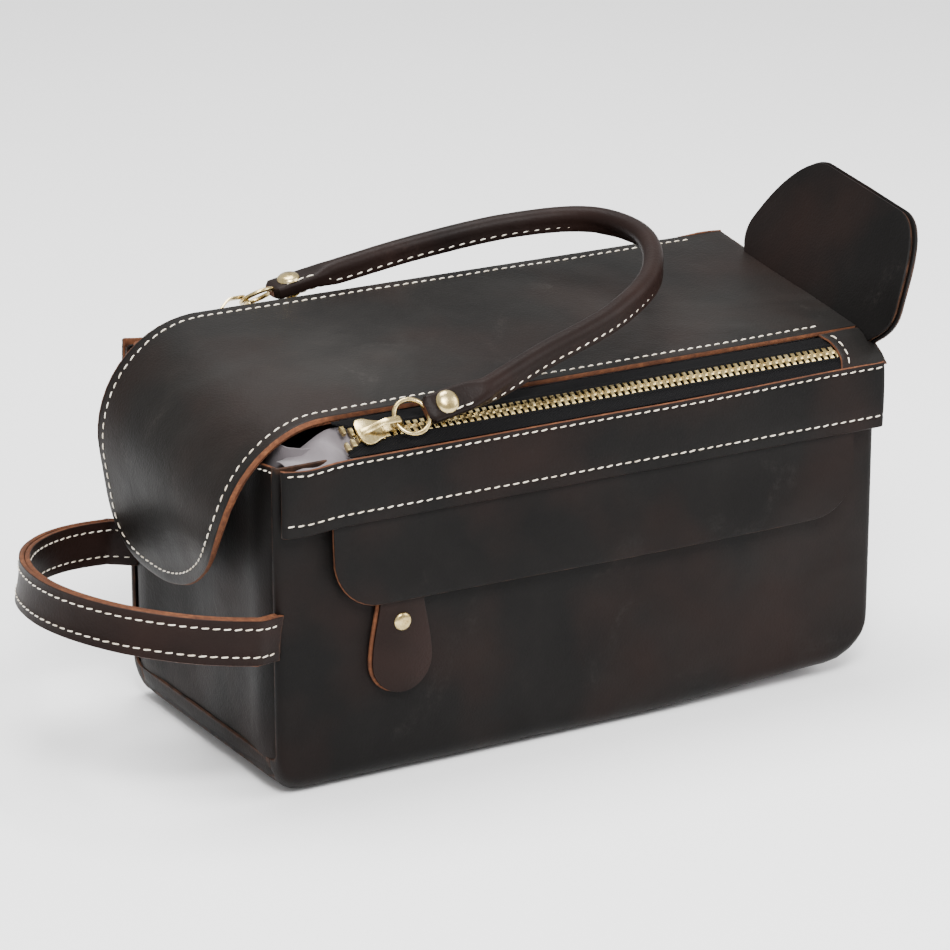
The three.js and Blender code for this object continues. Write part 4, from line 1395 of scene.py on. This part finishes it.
def add_flap():
    """The flap that hangs over the front pocket's zip."""
    x = spread(FLAP_LOW[0], FLAP_HIGH[0], 4.5, 20, (0, 0.15, 0.6, 1.4, 2.6, 4.2, 6.4, 9.2, 12.5, 16.2))
    t = np.concatenate([(0, 0.012, 0.04, 0.09), np.linspace(0.16, 1, 14)])
    piece = sheet("pocket_flap_skin", flap_place(x[None, :], t[:, None]), LAYER, BODY_LOOKS)
    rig.replaces(bend_flap(piece), "pocket_flap")


TAB_SHIFT = -1.6


def pull_tab_outline(shift=0.0, count=18):
    """A teardrop: narrow top, widest above its round foot. Anticlockwise, x and z."""
    centre = middle("pull_tab_front")[0] + shift
    foot, top = low("pull_tab_front")[2], high("pull_tab_front")[2]
    wide = 13.3
    turn = np.linspace(math.pi, 2 * math.pi, count)
    bowl = np.stack([centre + wide * np.cos(turn), foot + wide + wide * np.sin(turn)], 1)
    rise = np.linspace(0.08, 1, 10)
    half = 9 + (wide - 9) * (1 - smooth(rise * 1.15))
    right = np.stack([centre + half, foot + wide + rise * (top - foot - wide)], 1)
    left = np.stack([centre - half, right[:, 1]], 1)[::-1]
    return np.concatenate([bowl, right, left])


def add_pull_tab():
    """The teardrop pull of the pocket: two layers of leather and a rivet."""
    base = low("pull_tab_front")[1] + TAB_SHIFT
    for name, node, y, shift, look in (
            ("pull_tab_front_skin", "pull_tab_front", base, 0.0, STRAP_LEATHER),
            ("pull_tab_back_skin", "pull_tab_back", base + 1.5, -1.0, RAW_EDGE)):
        points, faces = slab(pull_tab_outline(shift), 0, 1.15, 0.3)
        placed = np.stack([points[:, 0], y + 1.15 - points[:, 2], points[:, 1]], 1)
        swell = 0.5 * hump(points[:, 0], -87, 9)
        placed[:, 1] -= swell
        obj = make_object(name, placed, faces, [look])
        fix_normals(obj)
        dress("pull_tab", obj, node)
    centre = middle("pull_tab_rivet")
    head = np.array((centre[0], base - 0.4, centre[2]))
    rivet = merge("pull_tab_rivet_cap", [dome(head, (0, -1, 0), (1, 0, 0), 3.8, 1.3, 3.4)], BRASS)
    dress("pull_tab", rivet, "pull_tab_rivet")


def dress_cad_nodes():
    """Gives the CAD solids that stay in view their real materials."""
    looks = {TAPE: ("pocket_coil_upper", "pocket_coil_lower", "pocket_tape_upper", "pocket_tape_lower"),
             BRASS: ("pocket_slider", "pocket_link"), LINING: ("pocket_lining",)}
    for look, names in looks.items():
        for name in names:
            node = frame["nodes"][name]
            node.data.materials.clear()
            node.data.materials.append(look)


# ---------------------------------------------------------------- lining
CLOTH = 0.7


def add_lining():
    """The loose cloth bag inside, with soft folds; its rim reaches up under the zips."""
    front, back = low("lining_tub")[1], high("lining_tub")[1]
    half = high("lining_tub")[0]
    corner = 9.0
    angle = np.linspace(0, 2 * math.pi, 96, endpoint=False)
    ring_x = squared(np.cos(angle), 0.16) * (half - 0.5)
    ring_y = (front + back) / 2 + squared(np.sin(angle), 0.16) * ((back - front) / 2 - 0.4)
    even = resample_ring(np.stack([ring_x, ring_y], 1), 120)
    levels = np.concatenate([(3.2, 4.0, 6.0), np.linspace(9, 124, 20), (127, 130, 133)])
    rings_out, rings_in = [], []
    for z in levels:
        shrink = corner * quarter(max(0, 1 - (z - 3.2) / corner))
        inward = unit(np.array((0, (front + back) / 2)) - even)
        rise = np.clip(z - 124, 0, 9) / 9
        fold = 1.1 + ripple(even[:, 0], even[:, 1], z, 26) * 1.4
        fold = fold + ripple(even[:, 0], even[:, 1], z * 0.4, 9) * 0.5
        push = shrink * 0.8 + np.maximum(fold, 0.1) * smooth((z - 2) / 12) + rise * 1.0
        slope = LID_RISE * (even[:, 1] - front) * smooth((z - 60) / 60)
        slope = slope + 5.5 * rise * smooth((-96 - even[:, 0]) / 14)
        outer = np.column_stack([even + inward * push[:, None], z + slope])
        rings_out.append(outer)
        rings_in.append(outer + np.column_stack([inward * CLOTH, np.zeros(len(even))]))
    count = len(even)
    floor_out = rings_out[0].mean(0)
    verts = np.concatenate(rings_out[::-1] + [floor_out[None], floor_out[None] + (0, 0, CLOTH)] + rings_in)
    depth = len(levels)
    centre_out, centre_in = depth * count, depth * count + 1
    start_in = centre_in + 1
    last = start_in + (depth - 1) * count
    faces = ring_faces(depth, count) + ring_faces(depth, count, start_in)
    for k in range(count):
        after = (k + 1) % count
        faces.append(((depth - 1) * count + k, (depth - 1) * count + after, centre_out))
        faces.append((start_in + after, start_in + k, centre_in))
        faces.append((last + k, last + after, after, k))
    obj = make_object("lining_bag", verts, faces, [LINING])
    fix_normals(obj)
    dress("bag", obj, "lining_tub")


def add_lining_folds():
    """Loose lining that shows where the zips part beside the tongue."""
    for name, y0, y1, z0 in (("front", FRONT_Y + 3.8, LID_FRONT, BAND_TOP - 3.2),
                             ("back", BACK_Y - 3.8, LID_BACK, BACK_BAND_TOP - 4.0)):
        x = np.linspace(-132, -101, 22)[None, :]
        v = np.linspace(0, 1, 16)[:, None]
        rise = v ** 0.8 * (1.0 + (9.5 if name == "front" else 4.0) * smooth((x + 132) / 24))
        folds = (1.5 * ripple(x, v * 17, 60, 9) + 1.6 * np.sin(x / 2.3 + v * 2.6)) * np.sin(v * math.pi)
        grid = np.stack(np.broadcast_arrays(x, y0 + (y1 - y0) * v, z0 + rise + folds * 0.8), axis=-1)
        piece = sheet(f"{name}_lining_fold", grid if name == "front" else flipped(grid), 0.7,
                      [LINING, LINING, LINING], wear=False)
        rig.ride(piece, "bag")


def resample_ring(ring, count):
    """Evenly spaced points round a closed outline."""
    closed = np.concatenate([ring, ring[:1]])
    at = length_along(closed)
    return pick(np.linspace(0, at[-1], count, endpoint=False), at, closed)


# ---------------------------------------------------------------- floor, light and camera
LAMPS = (("key", (-0.45, -1.2, 1.5), 0.7, 55),
         ("fill", (1.3, -0.9, 1.0), 1.0, 24),
         ("top", (0.0, 0.4, 1.8), 0.9, 42))


def add_stage():
    """A pale floor, three soft lamps and a white surround. Lamps are placed in metres."""
    bpy.ops.mesh.primitive_plane_add(size=8, location=(0, 0, CAD_BOUNDS[0][2] - 0.0004))
    floor = bpy.context.object
    floor.name = "floor"
    n = Nodes("floor")
    tone = n.ramp(n.noise(3, 2), [(0.2, (0.93, 0.93, 0.93)), (0.8, (0.96, 0.96, 0.96))])
    floor.data.materials.append(n.finish(tone, 0.8, None, Specular_IOR_Level=0.1))
    stage = [floor]
    for name, place, size, power in LAMPS:
        light = bpy.data.lights.new(name, "AREA")
        light.size = size
        light.energy = power
        lamp = bpy.data.objects.new(name, light)
        bpy.context.scene.collection.objects.link(lamp)
        lamp.location = place
        aim = Vector((0, 0, 0.08)) - Vector(place)
        lamp.rotation_euler = aim.to_track_quat("-Z", "Y").to_euler()
        stage.append(lamp)
    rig.stage(*stage)
    world = bpy.data.worlds.new("studio")
    bpy.context.scene.world = world
    world.use_nodes = True
    world.node_tree.nodes["Background"].inputs["Color"].default_value = (1, 1, 1, 1)
    world.node_tree.nodes["Background"].inputs["Strength"].default_value = 0.95


YAW, PITCH = math.radians(30.04), math.radians(18.5)
LENS, DISTANCE = 156.1, 1729
SHIFT_RIGHT, SHIFT_UP = -12.6, 87.5


def add_camera():
    """The camera of the main view, to the front left and above."""
    level = math.cos(PITCH)
    forward = Vector((math.sin(YAW) * level, math.cos(YAW) * level, -math.sin(PITCH)))
    right = Vector((math.cos(YAW), -math.sin(YAW), 0))
    up = right.cross(forward)
    data = bpy.data.cameras.new("camera")
    data.sensor_width = 36
    data.lens = LENS
    camera = bpy.data.objects.new("camera", data)
    bpy.context.scene.collection.objects.link(camera)
    place = (forward * -DISTANCE + right * SHIFT_RIGHT + up * SHIFT_UP) * MM
    camera.matrix_world = basis(place, right, up, -forward)
    bpy.context.scene.camera = camera
    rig.stage(camera)


def build():
    """Adds every piece of the bag, then the stage."""
    add_body()
    add_gusset("left_gusset_skin", "left_gusset", -1)
    add_gusset("right_gusset_skin", "right_gusset", 1)
    add_band("front_band_skin", "front_band", FRONT_Y, -1, BAND_LOW, BAND_TOP)
    add_band("back_band_skin", "back_band", BACK_Y, 1, BACK_BAND_LOW, BACK_BAND_TOP)
    add_lid()
    for label in ("front", "back"):
        add_zip(label)
        add_end_patch(label)
        add_slider(label, f"{label}_slider")
    add_rings_and_rivets()
    add_strap()
    add_handle()
    add_end_tab()
    add_flap()
    add_pull_tab()
    add_lining()
    add_lining_folds()
    dress_cad_nodes()
    add_stage()
    add_camera()


build()
with open("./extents.json", "w") as out:
    json.dump({"cad": [list(c) for c in CAD_BOUNDS], "visual": [list(c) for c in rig.bounds()]}, out)
